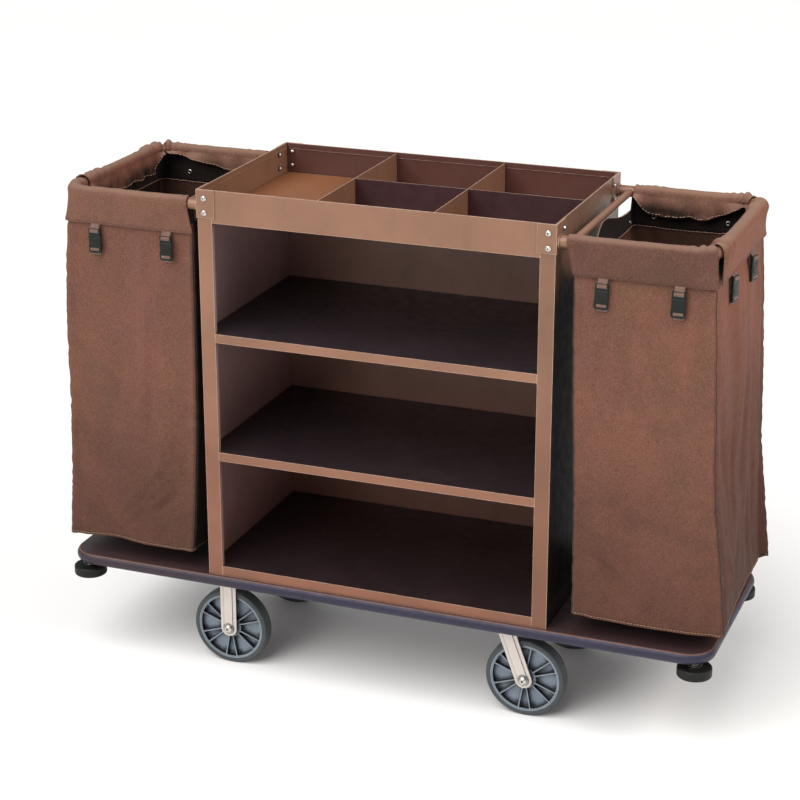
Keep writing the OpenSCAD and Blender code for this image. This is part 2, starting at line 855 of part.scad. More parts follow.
swivel_axle_sleeve(1);  // swivel_axle_sleeve_back
at_wheel(fixed_x, -1) wheel_core();  // wheel_core_front_left
at_wheel(fixed_x, 1) wheel_core();  // wheel_core_back_left
swivel_axle(-1) wheel_core();  // wheel_core_front_right
swivel_axle(1) wheel_core();  // wheel_core_back_right
at_wheel(fixed_x, -1) tyre();  // tyre_front_left
at_wheel(fixed_x, 1) tyre();  // tyre_back_left
swivel_axle(-1) tyre();  // tyre_front_right
swivel_axle(1) tyre();  // tyre_back_right
roller(-1, -1);  // roller_front_left
roller(-1, 1);  // roller_back_left
roller(1, -1);  // roller_front_right
roller(1, 1);  // roller_back_right
roller_bolts();
roller_spacers();
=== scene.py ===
"""Housekeeping cart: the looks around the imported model. Metres, floor at z = 0, front at -y."""

import math
import random

import bpy
import numpy as np
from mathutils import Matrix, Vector, noise


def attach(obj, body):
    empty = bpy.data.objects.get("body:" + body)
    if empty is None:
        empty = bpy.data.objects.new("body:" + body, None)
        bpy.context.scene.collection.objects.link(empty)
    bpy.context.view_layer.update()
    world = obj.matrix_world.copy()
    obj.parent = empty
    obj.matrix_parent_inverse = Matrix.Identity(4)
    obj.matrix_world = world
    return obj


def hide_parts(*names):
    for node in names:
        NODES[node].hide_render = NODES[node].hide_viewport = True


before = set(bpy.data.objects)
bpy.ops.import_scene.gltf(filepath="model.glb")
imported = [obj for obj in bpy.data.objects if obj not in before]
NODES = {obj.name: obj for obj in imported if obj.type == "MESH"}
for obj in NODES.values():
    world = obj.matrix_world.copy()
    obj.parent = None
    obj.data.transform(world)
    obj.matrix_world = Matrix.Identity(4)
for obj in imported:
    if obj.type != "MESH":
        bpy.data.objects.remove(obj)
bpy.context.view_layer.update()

random.seed(41)

# ---------------------------------------------------------------- sizes taken from the CAD, in metres

TUBE_R = 0.0125
HOOP_Z = 1.096
HOOP_Y = 0.219
HOOP_OUT_X = 0.719
HOOP_BEND = 0.045
HOOP_START_X = 0.4385
BAG_TOP_Z = 1.083
BAG_FOOT_Z = 0.284
CUFF_HEM_Z = 1.0326
CUFF_TAIL_Z = 1.052
BAND_LOW_Z = 1.020
CLOTH = 0.0015
BUCKLE_TOP_Z = 1.022
BUCKLE_X = {"left": (0.475, 0.648), "right": (0.497, 0.654)}
BUCKLE_Y = (-0.097, 0.063)
BUCKLE_FACE_Y = 0.2318
BUCKLE_FACE_X = 0.7290


# ---------------------------------------------------------------- materials


class Shade:
    """Builds one node material around a Principled shader."""

    def __init__(self, name):
        self.material = bpy.data.materials.new(name)
        self.material.use_nodes = True
        self.nodes = self.material.node_tree.nodes
        self.links = self.material.node_tree.links
        self.shader = self.nodes["Principled BSDF"]
        self.coords = self.nodes.new("ShaderNodeTexCoord")

    def add(self, kind, inputs, **settings):
        made = self.nodes.new(kind)
        for key, value in settings.items():
            setattr(made, key, value)
        for key, value in inputs.items():
            if isinstance(value, bpy.types.NodeSocket):
                self.links.new(value, made.inputs[key])
            else:
                made.inputs[key].default_value = value
        return made

    def place(self, stretch=(1, 1, 1), turn=(0, 0, 0), cloth=False):
        """The surface's own coordinates, in metres, stretched along each axis."""
        source = self.coords.outputs["UV" if cloth else "Object"]
        values = {"Vector": source, "Scale": stretch, "Rotation": turn}
        return self.add("ShaderNodeMapping", values).outputs["Vector"]

    def noise(self, scale, detail=3.0, rough=0.55, where=None, twist=0.0):
        where = where or self.place()
        values = {
            "Vector": where,
            "Scale": scale,
            "Detail": detail,
            "Roughness": rough,
            "Distortion": twist,
        }
        return self.add("ShaderNodeTexNoise", values).outputs["Fac"]

    def ramp(self, value, low, high, out_low=0.0, out_high=1.0):
        values = {
            "Value": value,
            "From Min": low,
            "From Max": high,
            "To Min": out_low,
            "To Max": out_high,
        }
        made = self.add("ShaderNodeMapRange", values)
        made.interpolation_type = "SMOOTHSTEP"
        return made.outputs["Result"]

    def math(self, operation, a, b=0.0):
        return self.add("ShaderNodeMath", {0: a, 1: b}, operation=operation).outputs[0]

    def mix(self, amount, a, b, blend="MIX"):
        made = self.add("ShaderNodeMix", {}, data_type="RGBA", blend_type=blend)
        for socket, value in ((0, amount), (6, a), (7, b)):
            if isinstance(value, bpy.types.NodeSocket):
                self.links.new(value, made.inputs[socket])
            elif socket == 0:
                made.inputs[0].default_value = value
            else:
                made.inputs[socket].default_value = (*value, 1.0)
        return made.outputs[2]

    def edges(self, radius):
        """1 on the model's convex edges, 0 on its flat faces."""
        rounded = self.add("ShaderNodeBevel", {"Radius": radius}, samples=4)
        flat = self.add("ShaderNodeNewGeometry", {})
        pair = {0: rounded.outputs[0], 1: flat.outputs["Normal"]}
        same = self.add("ShaderNodeVectorMath", pair, operation="DOT_PRODUCT").outputs["Value"]
        return self.ramp(same, 0.995, 0.86)

    def hidden(self, distance, low, high):
        """1 in narrow recesses of the model, 0 on its open faces."""
        open_share = self.add("ShaderNodeAmbientOcclusion", {"Distance": distance}, samples=4).outputs["AO"]
        return self.ramp(open_share, low, high)

    def normal_part(self, axis):
        facing = self.add("ShaderNodeNewGeometry", {}).outputs["Normal"]
        return self.add("ShaderNodeSeparateXYZ", {"Vector": facing}).outputs[axis]

    def faces_middle(self, bag_x=0.0):
        """1 on faces that look towards the middle of the cart, or of the bag bag_x away from it."""
        where = self.add("ShaderNodeSeparateXYZ", {"Vector": self.place()})
        x = where.outputs["X"]
        if bag_x:
            x = self.math("SUBTRACT", x, self.math("MULTIPLY", self.math("SIGN", x), bag_x))
        along = self.math("MULTIPLY", self.normal_part("X"), x)
        across = self.math("MULTIPLY", self.normal_part("Y"), where.outputs["Y"])
        return self.ramp(self.math("ADD", along, across), -0.02, -0.08)

    def height(self):
        return self.add("ShaderNodeSeparateXYZ", {"Vector": self.place()}).outputs["Z"]

    def bump(self, height, strength, distance, under=None):
        values = {"Height": height, "Strength": strength, "Distance": distance}
        if under is not None:
            values["Normal"] = under
        return self.add("ShaderNodeBump", values).outputs["Normal"]

    def finish(self, colour, rough, normal=None, **sockets):
        self.links.new(colour, self.shader.inputs["Base Color"])
        self.links.new(rough, self.shader.inputs["Roughness"])
        if normal is not None:
            self.links.new(normal, self.shader.inputs["Normal"])
        for key, value in sockets.items():
            self.shader.inputs[key.replace("_", " ")].default_value = value
        return self.material


def powder_coat(
    name, light, dark, edge, rough=0.42, shelf_top=None, inside=None, inside_high=None, beside=None
):
    """Satin bronze powder coat: fine orange peel, cloudy tone, a painted highlight on the edges.

    shelf_top, inside and inside_high are the tones of upward faces, of faces towards the cart's middle
    and of those faces above the tray's floor; beside is the tone of the end faces next to the bags.
    inside, inside_high and beside are painted shade: the colours these faces show in shade.
    """
    s = Shade(name)
    cloud = s.ramp(s.noise(5.0, 4.0), 0.3, 0.72)
    colour = s.mix(cloud, light, dark)
    # Painted shade: faces towards the cart's middle take the tint they show in shade.
    if inside is not None:
        inner = s.mix(cloud, inside, tuple(0.8 * c for c in inside))
        high = s.ramp(s.height(), 1.050, 1.058)
        if inside_high is not None:
            inner = s.mix(high, inner, inside_high)
            amount = s.faces_middle()
        else:
            amount = s.math("MULTIPLY", s.faces_middle(), s.math("SUBTRACT", 1.0, high))
        colour = s.mix(amount, colour, inner)
    # Painted shade: end faces in the gap beside the bags go near black below the top.
    if beside is not None:
        turned = s.ramp(s.math("ABSOLUTE", s.normal_part("X")), 0.8, 0.95)
        outward = s.math("MULTIPLY", turned, s.math("SUBTRACT", 1.0, s.faces_middle()))
        colour = s.mix(s.math("MULTIPLY", outward, s.ramp(s.height(), 1.075, 0.94)), colour, beside)
    # Painted shade: darker in narrow recesses and in the gaps between parts.
    colour = s.mix(s.hidden(0.004, 0.85, 0.5), colour, (0.30, 0.26, 0.25), "MULTIPLY")
    streak = s.ramp(s.noise(26.0, 5.0, 0.62, s.place((1, 1, 0.35)), 0.6), 0.5, 0.78)
    colour = s.mix(s.math("MULTIPLY", streak, 0.35), colour, (0.72, 0.72, 0.72), "MULTIPLY")
    grain = s.noise(1400.0, 2.0, 0.6)
    colour = s.mix(s.ramp(grain, 0.35, 0.7, 0.0, 0.22), colour, (1.35, 1.35, 1.35), "MULTIPLY")
    if shelf_top is not None:
        board = s.mix(s.ramp(s.noise(9.0, 5.0, 0.6), 0.3, 0.75), shelf_top, tuple(1.5 * c for c in shelf_top))
        colour = s.mix(s.ramp(s.normal_part("Z"), 0.8, 0.95), colour, board)
    # Painted shade: darker and redder towards the bottom, for the light falling off downwards.
    drift = s.math("ADD", s.height(), s.math("MULTIPLY", s.noise(3.0, 3.0), 0.3))
    falloff_shade = s.ramp(drift, 1.15, 0.35, 0.0, 0.85)
    colour = s.mix(falloff_shade, colour, (0.80, 0.60, 0.52), "MULTIPLY")
    # Painted highlight along the convex edges, broken up by noise like rubbed wear.
    patchy_mix = s.math("MULTIPLY", s.edges(0.0018), s.ramp(s.noise(70.0, 4.0), 0.28, 0.62, 0.5, 1.0))
    colour = s.mix(s.math("MULTIPLY", patchy_mix, 0.9), colour, edge)
    roughness = s.ramp(s.noise(38.0, 5.0, 0.65), 0.25, 0.8, rough - 0.07, rough + 0.1)
    peel = s.bump(s.noise(620.0, 2.0, 0.5), 0.22, 0.0004)
    dents = s.bump(s.noise(11.0, 2.0, 0.4), 0.25, 0.0012, peel)
    return s.finish(colour, roughness, dents, Metallic=0.12, Coat_Weight=0.08, Coat_Roughness=0.25)


def canvas(name, base, warm, shade_colour, relief=0.55, shade_inside=False, tail=False):
    """Plain-weave bag canvas with slubs, faded patches and a soft nap, and painted light and shade."""
    s = Shade(name)
    warp = s.noise(1.0, 2.0, 0.5, s.place((1150, 90, 90), cloth=True))
    weft = s.noise(1.0, 2.0, 0.5, s.place((90, 1150, 90), cloth=True))
    threads = s.math("ADD", s.math("MULTIPLY", warp, 0.5), s.math("MULTIPLY", weft, 0.5))
    patch = s.ramp(s.noise(5.5, 5.0, 0.62, twist=0.8), 0.38, 0.62)
    colour = s.mix(patch, base, warm)
    hue = s.noise(8.0, 4.0, 0.6, s.place((1, 1, 0.35)), 1.0)
    pink = (1.04 * warm[0], 1.02 * warm[1], 1.30 * warm[2])
    olive = (0.90 * base[0], 1.10 * base[1], 0.90 * base[2])
    colour = s.mix(s.ramp(hue, 0.50, 0.70, 0.0, 0.6), colour, pink)
    colour = s.mix(s.ramp(hue, 0.48, 0.30, 0.0, 0.6), colour, olive)
    patchy_mix = s.ramp(s.noise(17.0, 6.0, 0.7, twist=0.4), 0.46, 0.8, 0.0, 0.45)
    colour = s.mix(patchy_mix, colour, shade_colour)
    speck = s.ramp(threads, 0.34, 0.66)
    fleck = s.ramp(s.noise(330.0, 3.0, 0.75), 0.3, 0.72)
    dark = tuple(0.55 * c for c in base)
    pale = tuple(1.42 * c for c in warm)
    colour = s.mix(s.math("MULTIPLY", s.ramp(fleck, 0.0, 0.5, 1.0, 0.0), 0.62), colour, dark)
    colour = s.mix(s.math("MULTIPLY", s.ramp(fleck, 0.55, 1.0), 0.60), colour, pale)
    colour = s.mix(s.math("MULTIPLY", s.ramp(speck, 0.2, 0.9), 0.3), colour, pale)
    # Painted shade: darker towards the foot, for the light falling off downwards.
    drift = s.math("ADD", s.height(), s.math("MULTIPLY", s.noise(4.5, 4.0), 0.34))
    foot_shade = s.ramp(drift, 0.98, 0.36, 0.0, 0.85)
    colour = s.mix(foot_shade, colour, (0.45, 0.43, 0.42), "MULTIPLY")
    if tail:
        # Painted highlight: upward faces over the tube lighter.
        lit = s.ramp(s.normal_part("Z"), 0.30, 0.95, 0.0, 0.6)
        colour = s.mix(lit, colour, (0.250, 0.150, 0.108))
        # Painted shade: the tail inside the bag darkened in blotches below the tube.
        low = s.ramp(s.height(), 1.090, 1.064)
        shade_blotches = s.ramp(s.noise(11.0, 4.0, 0.6, s.place((1, 1, 0.6)), 0.8), 0.38, 0.58, 0.35, 1.0)
        hanging = s.math("MULTIPLY", s.math("MULTIPLY", low, shade_blotches), s.faces_middle(0.585))
        colour = s.mix(hanging, colour, (0.10, 0.08, 0.08), "MULTIPLY")
    # Painted shade: faces into the bag darker, and faces in the gap beside the cabinet near black.
    if shade_inside:
        colour = s.mix(s.faces_middle(0.585), colour, (0.45, 0.45, 0.45), "MULTIPLY")
        turned = s.ramp(s.math("ABSOLUTE", s.normal_part("X")), 0.75, 0.95)
        beside = s.math("MULTIPLY", turned, s.faces_middle())
        colour = s.mix(beside, colour, (0.22, 0.20, 0.20), "MULTIPLY")
    # Painted light and shade on faces turned to +x: lighter at the top, darker low down.
    outward = s.ramp(s.normal_part("X"), 0.60, 0.90)
    tone = s.mix(s.ramp(s.height(), 0.62, 0.96), (0.72, 0.61, 0.55), (1.20, 1.0, 0.90))
    colour = s.mix(outward, colour, tone, "MULTIPLY")
    roughness = s.ramp(s.noise(60.0, 4.0), 0.3, 0.7, 0.78, 0.95)
    fine = s.bump(threads, 0.5, 0.0006)
    normal = s.bump(s.noise(30.0, 5.0, 0.6, twist=0.5), relief, 0.0045, fine)
    return s.finish(colour, roughness, normal, Sheen_Weight=0.03, Sheen_Roughness=0.5, Specular_IOR_Level=0.2)


def plastic(name, base, light, rough, grain_scale=900.0, edge_highlight_amount=0.5, edge=0.0009, pocket_shade=None, **sockets):
    """Moulded plastic or rubber: fine spark-eroded grain, scuffs, a painted highlight on the edges, painted shade in
    pockets.
    """
    s = Shade(name)
    tone = s.ramp(s.noise(14.0, 4.0), 0.3, 0.7)
    colour = s.mix(tone, base, tuple(0.8 * c for c in base))
    # Painted shade: side walls and recesses of pockets take the pocket colour.
    if pocket_shade is not None:
        facing = s.math("ABSOLUTE", s.normal_part("Y"))
        colour = s.mix(s.ramp(facing, 0.8, 0.45), colour, pocket_shade)
        colour = s.mix(s.hidden(0.015, 0.78, 0.46), colour, pocket_shade)
    scuff = s.ramp(s.noise(120.0, 6.0, 0.72, twist=1.4), 0.58, 0.82, 0.0, 0.45)
    colour = s.mix(scuff, colour, light)
    # Painted highlight along the edges.
    colour = s.mix(s.math("MULTIPLY", s.edges(edge), edge_highlight_amount), colour, light)
    roughness = s.ramp(s.noise(85.0, 5.0, 0.7), 0.3, 0.75, rough - 0.08, rough + 0.12)
    normal = s.bump(s.noise(grain_scale, 2.0, 0.6), 0.3, 0.0003)
    return s.finish(colour, roughness, normal, **sockets)


def metal(name, base, stain, rough, brushed=(1, 1, 1), metallic=1.0, recess=0.006):
    """Plated steel: brushed or pressed grain, dull spots, a painted highlight on the edges, painted shade in narrow
    recesses.
    """
    s = Shade(name)
    spots = s.ramp(s.noise(45.0, 5.0, 0.66), 0.42, 0.78)
    colour = s.mix(s.math("MULTIPLY", spots, 0.5), base, stain)
    # Painted highlight along the edges.
    colour = s.mix(s.math("MULTIPLY", s.edges(0.0008), 0.6), colour, (0.95, 0.94, 0.92))
    # Painted shade: near black in narrow recesses.
    colour = s.mix(s.hidden(recess, 0.95, 0.6), colour, (0.02, 0.017, 0.015))
    lines = s.noise(260.0, 3.0, 0.6, s.place(brushed))
    roughness = s.ramp(lines, 0.3, 0.72, rough - 0.06, rough + 0.14)
    normal = s.bump(lines, 0.14, 0.0003)
    return s.finish(colour, roughness, normal, Metallic=metallic)


def webbing_material(name, base):
    """Ribbed woven tape."""
    s = Shade(name)
    rib = s.add(
        "ShaderNodeTexWave",
        {"Vector": s.place((1, 1, 1), cloth=True), "Scale": 95.0, "Distortion": 0.6, "Detail": 1.0},
        wave_type="BANDS",
        bands_direction="Y",
    ).outputs["Fac"]
    tone = s.ramp(s.noise(90.0, 4.0, 0.65), 0.3, 0.7)
    colour = s.mix(tone, base, tuple(1.4 * c for c in base))
    colour = s.mix(s.math("MULTIPLY", s.ramp(rib, 0.0, 0.5, 1.0, 0.0), 0.45), colour, tuple(0.5 * c for c in base))
    roughness = s.ramp(s.noise(200.0, 3.0), 0.3, 0.7, 0.7, 0.9)
    return s.finish(colour, roughness, s.bump(rib, 0.6, 0.0006), Sheen_Weight=0.2)


def thread_material(name, base):
    s = Shade(name)
    twist = s.noise(1500.0, 2.0, 0.5, s.place((1, 1, 1), (0.6, 0.3, 0.5)))
    colour = s.mix(s.ramp(twist, 0.3, 0.7), base, tuple(0.6 * c for c in base))
    roughness = s.ramp(twist, 0.2, 0.8, 0.55, 0.8)
    return s.finish(colour, roughness, s.bump(twist, 0.4, 0.0003))


# Edge colour of the coats: a painted highlight, partly rubbed wear.
RUBBED_EDGE_GLINT = (0.72, 0.52, 0.41)
# The inside and beside tones of this coat are painted shade.
COAT = powder_coat(
    "bronze_coat", (0.262, 0.130, 0.078), (0.212, 0.103, 0.061), RUBBED_EDGE_GLINT,
    inside=(0.40, 0.265, 0.26), beside=(0.008, 0.005, 0.005),
)
# Painted shade: a darker copy of the coat for the right side panel, which gets less light.
COAT_RIGHT_SHADED = powder_coat(
    "bronze_coat_right_shaded", (0.212, 0.106, 0.062), (0.172, 0.084, 0.049), RUBBED_EDGE_GLINT,
    inside=(0.40, 0.265, 0.26), beside=(0.008, 0.005, 0.005),
)
COAT_SHELF = powder_coat(
    "bronze_coat_shelf", (0.262, 0.130, 0.078), (0.212, 0.103, 0.061), RUBBED_EDGE_GLINT, shelf_top=(0.019, 0.0138, 0.0185)
)
# Painted shade: the back panel's inward faces tinted for their shade, darkest on the tray's back wall.
COAT_INNER = powder_coat(
    "bronze_coat_back", (0.262, 0.130, 0.078), (0.212, 0.103, 0.061), RUBBED_EDGE_GLINT,
    inside=(0.277, 0.152, 0.117), inside_high=(0.086, 0.0325, 0.026),
)
# Painted shade: the cross divider coated dark for the apron's shadow on it.
COAT_DIVIDER_SHADED = powder_coat("divider_coat_shaded", (0.047, 0.016, 0.020), (0.035, 0.013, 0.017), (0.50, 0.33, 0.26), 0.44)
COAT_TRAY = powder_coat("bronze_coat_tray", (0.245, 0.093, 0.035), (0.20, 0.074, 0.028), RUBBED_EDGE_GLINT, 0.5)


def deck_material():
    """Dark brown laminate with a faint long grain and rubbed marks."""
    s = Shade("deck_laminate")
    grain = s.noise(30.0, 6.0, 0.65, s.place((0.16, 1.6, 1)), 0.7)
    colour = s.mix(s.ramp(grain, 0.3, 0.72), (0.033, 0.0175, 0.0205), (0.047, 0.024, 0.025))
    rub = s.ramp(s.noise(16.0, 6.0, 0.7, twist=1.0), 0.56, 0.82, 0.0, 0.5)
    colour = s.mix(rub, colour, (0.062, 0.034, 0.034))
    # Painted highlight: a warm light line along the board's edges.
    colour = s.mix(s.math("MULTIPLY", s.edges(0.0012), 0.7), colour, (0.32, 0.15, 0.08))
    roughness = s.ramp(s.noise(22.0, 5.0, 0.7), 0.3, 0.75, 0.36, 0.56)
    normal = s.bump(s.noise(420.0, 3.0, 0.6, s.place((0.3, 1, 1))), 0.2, 0.0004)
    return s.finish(colour, roughness, normal, Coat_Weight=0.1, Coat_Roughness=0.3)


def band_material():
    """Plum-blue extruded bumper with drawn lines along it and a painted highlight at its upper lip."""
    s = Shade("edge_band_vinyl")
    drawn = s.noise(55.0, 4.0, 0.6, s.place((0.12, 0.12, 6.0)))
    colour = s.mix(s.ramp(drawn, 0.3, 0.7), (0.024, 0.020, 0.046), (0.017, 0.014, 0.033))
    along = s.add("ShaderNodeSeparateXYZ", {"Vector": s.place()}).outputs["X"]
    colour = s.mix(s.ramp(along, -0.15, -0.60), colour, (0.028, 0.017, 0.026))
    scuff = s.ramp(s.noise(48.0, 6.0, 0.75, s.place((1, 1, 3)), 1.2), 0.56, 0.8, 0.0, 0.5)
    colour = s.mix(s.math("MULTIPLY", scuff, 0.5), colour, (0.055, 0.050, 0.076))
    # Painted highlight: a warm light line along the upper lip.
    lip = s.ramp(s.height(), 0.2377, 0.2387)
    colour = s.mix(s.math("MULTIPLY", lip, 0.7), colour, (0.20, 0.095, 0.062))
    roughness = s.ramp(s.noise(70.0, 5.0, 0.7), 0.3, 0.75, 0.40, 0.58)
    normal = s.bump(drawn, 0.15, 0.0006, s.bump(s.noise(800.0, 2.0), 0.12, 0.0003))
    return s.finish(colour, roughness, normal, Specular_IOR_Level=0.35)


DECK = deck_material()
BAND = band_material()
CANVAS = canvas(
    "bag_canvas", (0.123, 0.056, 0.039), (0.158, 0.067, 0.045), (0.078, 0.040, 0.029), shade_inside=True
)
CANVAS_CUFF = canvas("cuff_canvas", (0.131, 0.064, 0.044), (0.158, 0.072, 0.049), (0.084, 0.046, 0.033), tail=True)
# Painted shade: a darker copy of the cuff canvas, used on the right bag's front cuff.
CANVAS_CUFF_SHADED = canvas("shaded_cuff_canvas", (0.092, 0.044, 0.032), (0.115, 0.051, 0.036), (0.070, 0.037, 0.028), tail=True)
LINING = canvas("black_binding", (0.006, 0.004, 0.0035), (0.016, 0.010, 0.008), (0.024, 0.015, 0.012), 0.9)
WEBBING = webbing_material("brown_webbing", (0.120, 0.066, 0.048))
# Seam piping darker than the canvas: partly its own colour, partly painted shade of the seam's groove.
SEAM = thread_material("seam_piping", (0.040, 0.019, 0.016))
THREAD = thread_material("tan_thread", (0.42, 0.27, 0.19))
THREAD_DARK = thread_material("brown_thread", (0.115, 0.062, 0.048))
BUCKLE = plastic(
    "buckle_acetal", (0.0075, 0.0105, 0.0080), (0.038, 0.046, 0.040), 0.42, 1100.0, 0.5, Specular_IOR_Level=0.25
)
STEEL = metal("bright_steel", (0.66, 0.63, 0.60), (0.40, 0.37, 0.34), 0.28)
ZINC = metal("pressed_zinc", (0.60, 0.55, 0.51), (0.50, 0.45, 0.41), 0.40, (1, 1, 0.15), 0.55, 0.006)
TREAD = plastic("grey_tread", (0.043, 0.051, 0.055), (0.13, 0.15, 0.155), 0.55, 700.0, 0.35)
# The wheel's pocket colour is painted shade between its ribs.
WHEEL = plastic(
    "wheel_polymer", (0.180, 0.225, 0.275), (0.60, 0.66, 0.68), 0.46, 800.0, 0.8, 0.0006, (0.008, 0.010, 0.014)
)
RUBBER = plastic("black_rubber", (0.0045, 0.0045, 0.004), (0.02, 0.02, 0.019), 0.55, 500.0, 0.3, Specular_IOR_Level=0.3)


def dress(material, *names):
    for name in names:
        mesh = NODES[name].data
        mesh.materials.clear()
        mesh.materials.append(material)


def named(*starts):
    return [n for n in sorted(NODES) if n.startswith(starts)]


dress(COAT, "side_panel_left", "tray_apron")
dress(COAT_RIGHT_SHADED, "side_panel_right")
dress(COAT, *named("bracket_front", "bracket_back"))
dress(COAT_SHELF, "shelf_bottom", "shelf_middle", "shelf_top")
dress(COAT_INNER, "back_panel")
dress(COAT_TRAY, "tray_floor")
dress(COAT, "divider_left", "divider_right")
dress(COAT_DIVIDER_SHADED, "divider_cross")
dress(COAT, "hoop_left", "hoop_right", "hoop_crossbars", "hoop_collars")
dress(DECK, "deck_board")
dress(BAND, "deck_edge_band")
dress(STEEL, "cabinet_bolts", "bracket_screws", "bracket_nuts", "caster_bolts", "roller_bolts")
dress(STEEL, "fixed_axle_bolts", "fixed_axle_sleeves", "roller_spacers", "swivel_kingpins")
dress(STEEL, *named("swivel_axle", "swivel_ball_ring"))
dress(ZINC, "swivel_plates", *named("fixed_fork", "swivel_fork"))
dress(WHEEL, *named("wheel_core"))
dress(TREAD, *named("tyre"))
dress(RUBBER, "roller_front_left", "roller_front_right", "roller_back_left", "roller_back_right")
dress(BUCKLE, "buckle_bodies", "buckle_tongues")
dress(CANVAS, "bag_left", "bag_right")


# ---------------------------------------------------------------- mesh helpers


def make_mesh(name, points, faces, material, uvs=None):
    """A smooth-shaded mesh object. uvs holds one flat-cloth place, in metres, for each point."""
    mesh = bpy.data.meshes.new(name)
    mesh.from_pydata([tuple(float(c) for c in p) for p in points], [], faces)
    if uvs is not None:
        layer = mesh.uv_layers.new(name="cloth")
        for loop in mesh.loops:
            layer.data[loop.index].uv = uvs[loop.vertex_index]
    mesh.materials.append(material)
    for polygon in mesh.polygons:
        polygon.use_smooth = True
    mesh.update()
    made = bpy.data.objects.new(name, mesh)
    bpy.context.scene.collection.objects.link(made)
    return made


def apply_modifiers(piece):
    """Bakes the piece's modifiers into its mesh."""
    graph = bpy.context.evaluated_depsgraph_get()
    mesh = bpy.data.meshes.new_from_object(piece.evaluated_get(graph))
    piece.modifiers.clear()
    piece.data = mesh
    return piece


def thicken(piece, thickness, offset=0.0):
    solid = piece.modifiers.new("thickness", "SOLIDIFY")
    solid.thickness = thickness
    solid.offset = offset
    solid.use_even_offset = False
    return apply_modifiers(piece)


def grid_faces(rows, columns, closed=False):
    """Faces of a grid whose points run row by row."""
    span = columns if closed else columns - 1
    faces = []
    for r in range(rows - 1):
        for c in range(span):
            d = (c + 1) % columns
            faces.append((r * columns + c, r * columns + d, (r + 1) * columns + d, (r + 1) * columns + c))
    return faces


def tube_along(name, line, radius, material, closed=False, sides=8, squash=1.0):
    """A round cord that follows a line of points, with closed ends."""
    line = [Vector(p) for p in line]
    count = len(line)
    points = []
    up = Vector((0, 0, 1))
    for i, p in enumerate(line):
        before = line[i - 1] if i or closed else line[0]
        after = line[(i + 1) % count] if i < count - 1 or closed else line[-1]
        along = (after - before).normalized()
        side = along.cross(up)
        if side.length < 0.2:
            side = along.cross(Vector((0, 1, 0)))
        side.normalize()
        over = side.cross(along).normalized()
        for k in range(sides):
            a = 2 * math.pi * k / sides
            points.append(p + side * math.cos(a) * radius + over * math.sin(a) * radius * squash)
    faces = []
    for i in range(count if closed else count - 1):
        j = (i + 1) % count
        for k in range(sides):
            m = (k + 1) % sides
            faces.append((i * sides + k, j * sides + k, j * sides + m, i * sides + m))
    if not closed:
        faces.append(tuple(range(sides)))
        faces.append(tuple((count - 1) * sides + k for k in reversed(range(sides))))
    return make_mesh(name, points, faces, material)


def resample(line, pitch):
    """Points at an even pitch along a line."""
    line = np.array([tuple(p) for p in line], float)
    steps = np.linalg.norm(np.diff(line, axis=0), axis=1)
    length = np.concatenate([[0.0], np.cumsum(steps)])
    count = max(2, int(length[-1] / pitch))
    places = np.linspace(0, length[-1], count + 1)
    return np.stack([np.interp(places, length, line[:, k]) for k in range(3)], axis=1)


def stitches(name, lines, material, pitch=0.0068, length=0.0046, radius=0.00055, wander=0.0002):
    """Sewing stitches: one short rounded thread at each pitch along each line."""
    points = []
    faces = []
    profile = ((-0.5, 0.35), (-0.3, 1.0), (0.3, 1.0), (0.5, 0.35))
    for line in lines:
        marks = resample(line, pitch)
        for a, b in zip(marks[:-1], marks[1:]):
            along = Vector(b - a)
            if along.length < 1e-6:
                continue
            along.normalize()
            middle = Vector((a + b) / 2)
            middle += Vector([random.uniform(-wander, wander) for _ in range(3)])
            side = along.cross(Vector((0.31, 0.2, 0.93))).normalized()
            over = side.cross(along)
            start = len(points)
            for step, size in profile:
                for k in range(5):
                    angle = 2 * math.pi * k / 5
                    off = side * math.cos(angle) + over * math.sin(angle)
                    points.append(middle + along * step * length + off * radius * size)
            for ring in range(3):
                for k in range(5):
                    m = (k + 1) % 5
                    base = start + ring * 5
                    faces.append((base + k, base + m, base + 5 + m, base + 5 + k))
            faces.append(tuple(start + k for k in reversed(range(5))))
            faces.append(tuple(start + 15 + k for k in range(5)))
    return make_mesh(name, points, faces, material)


def smooth_step(value, low, high):
    t = min(1.0, max(0.0, (value - low) / (high - low)))
    return t * t * (3 - 2 * t)


def ripple(x, y, seed, scale_x, scale_y):
    return noise.noise(Vector((x * scale_x, y * scale_y, seed)))


# ---------------------------------------------------------------- bag outline

LONG_COLUMNS = 64
SHORT_COLUMNS = 46
CORNER_COLUMNS = 8


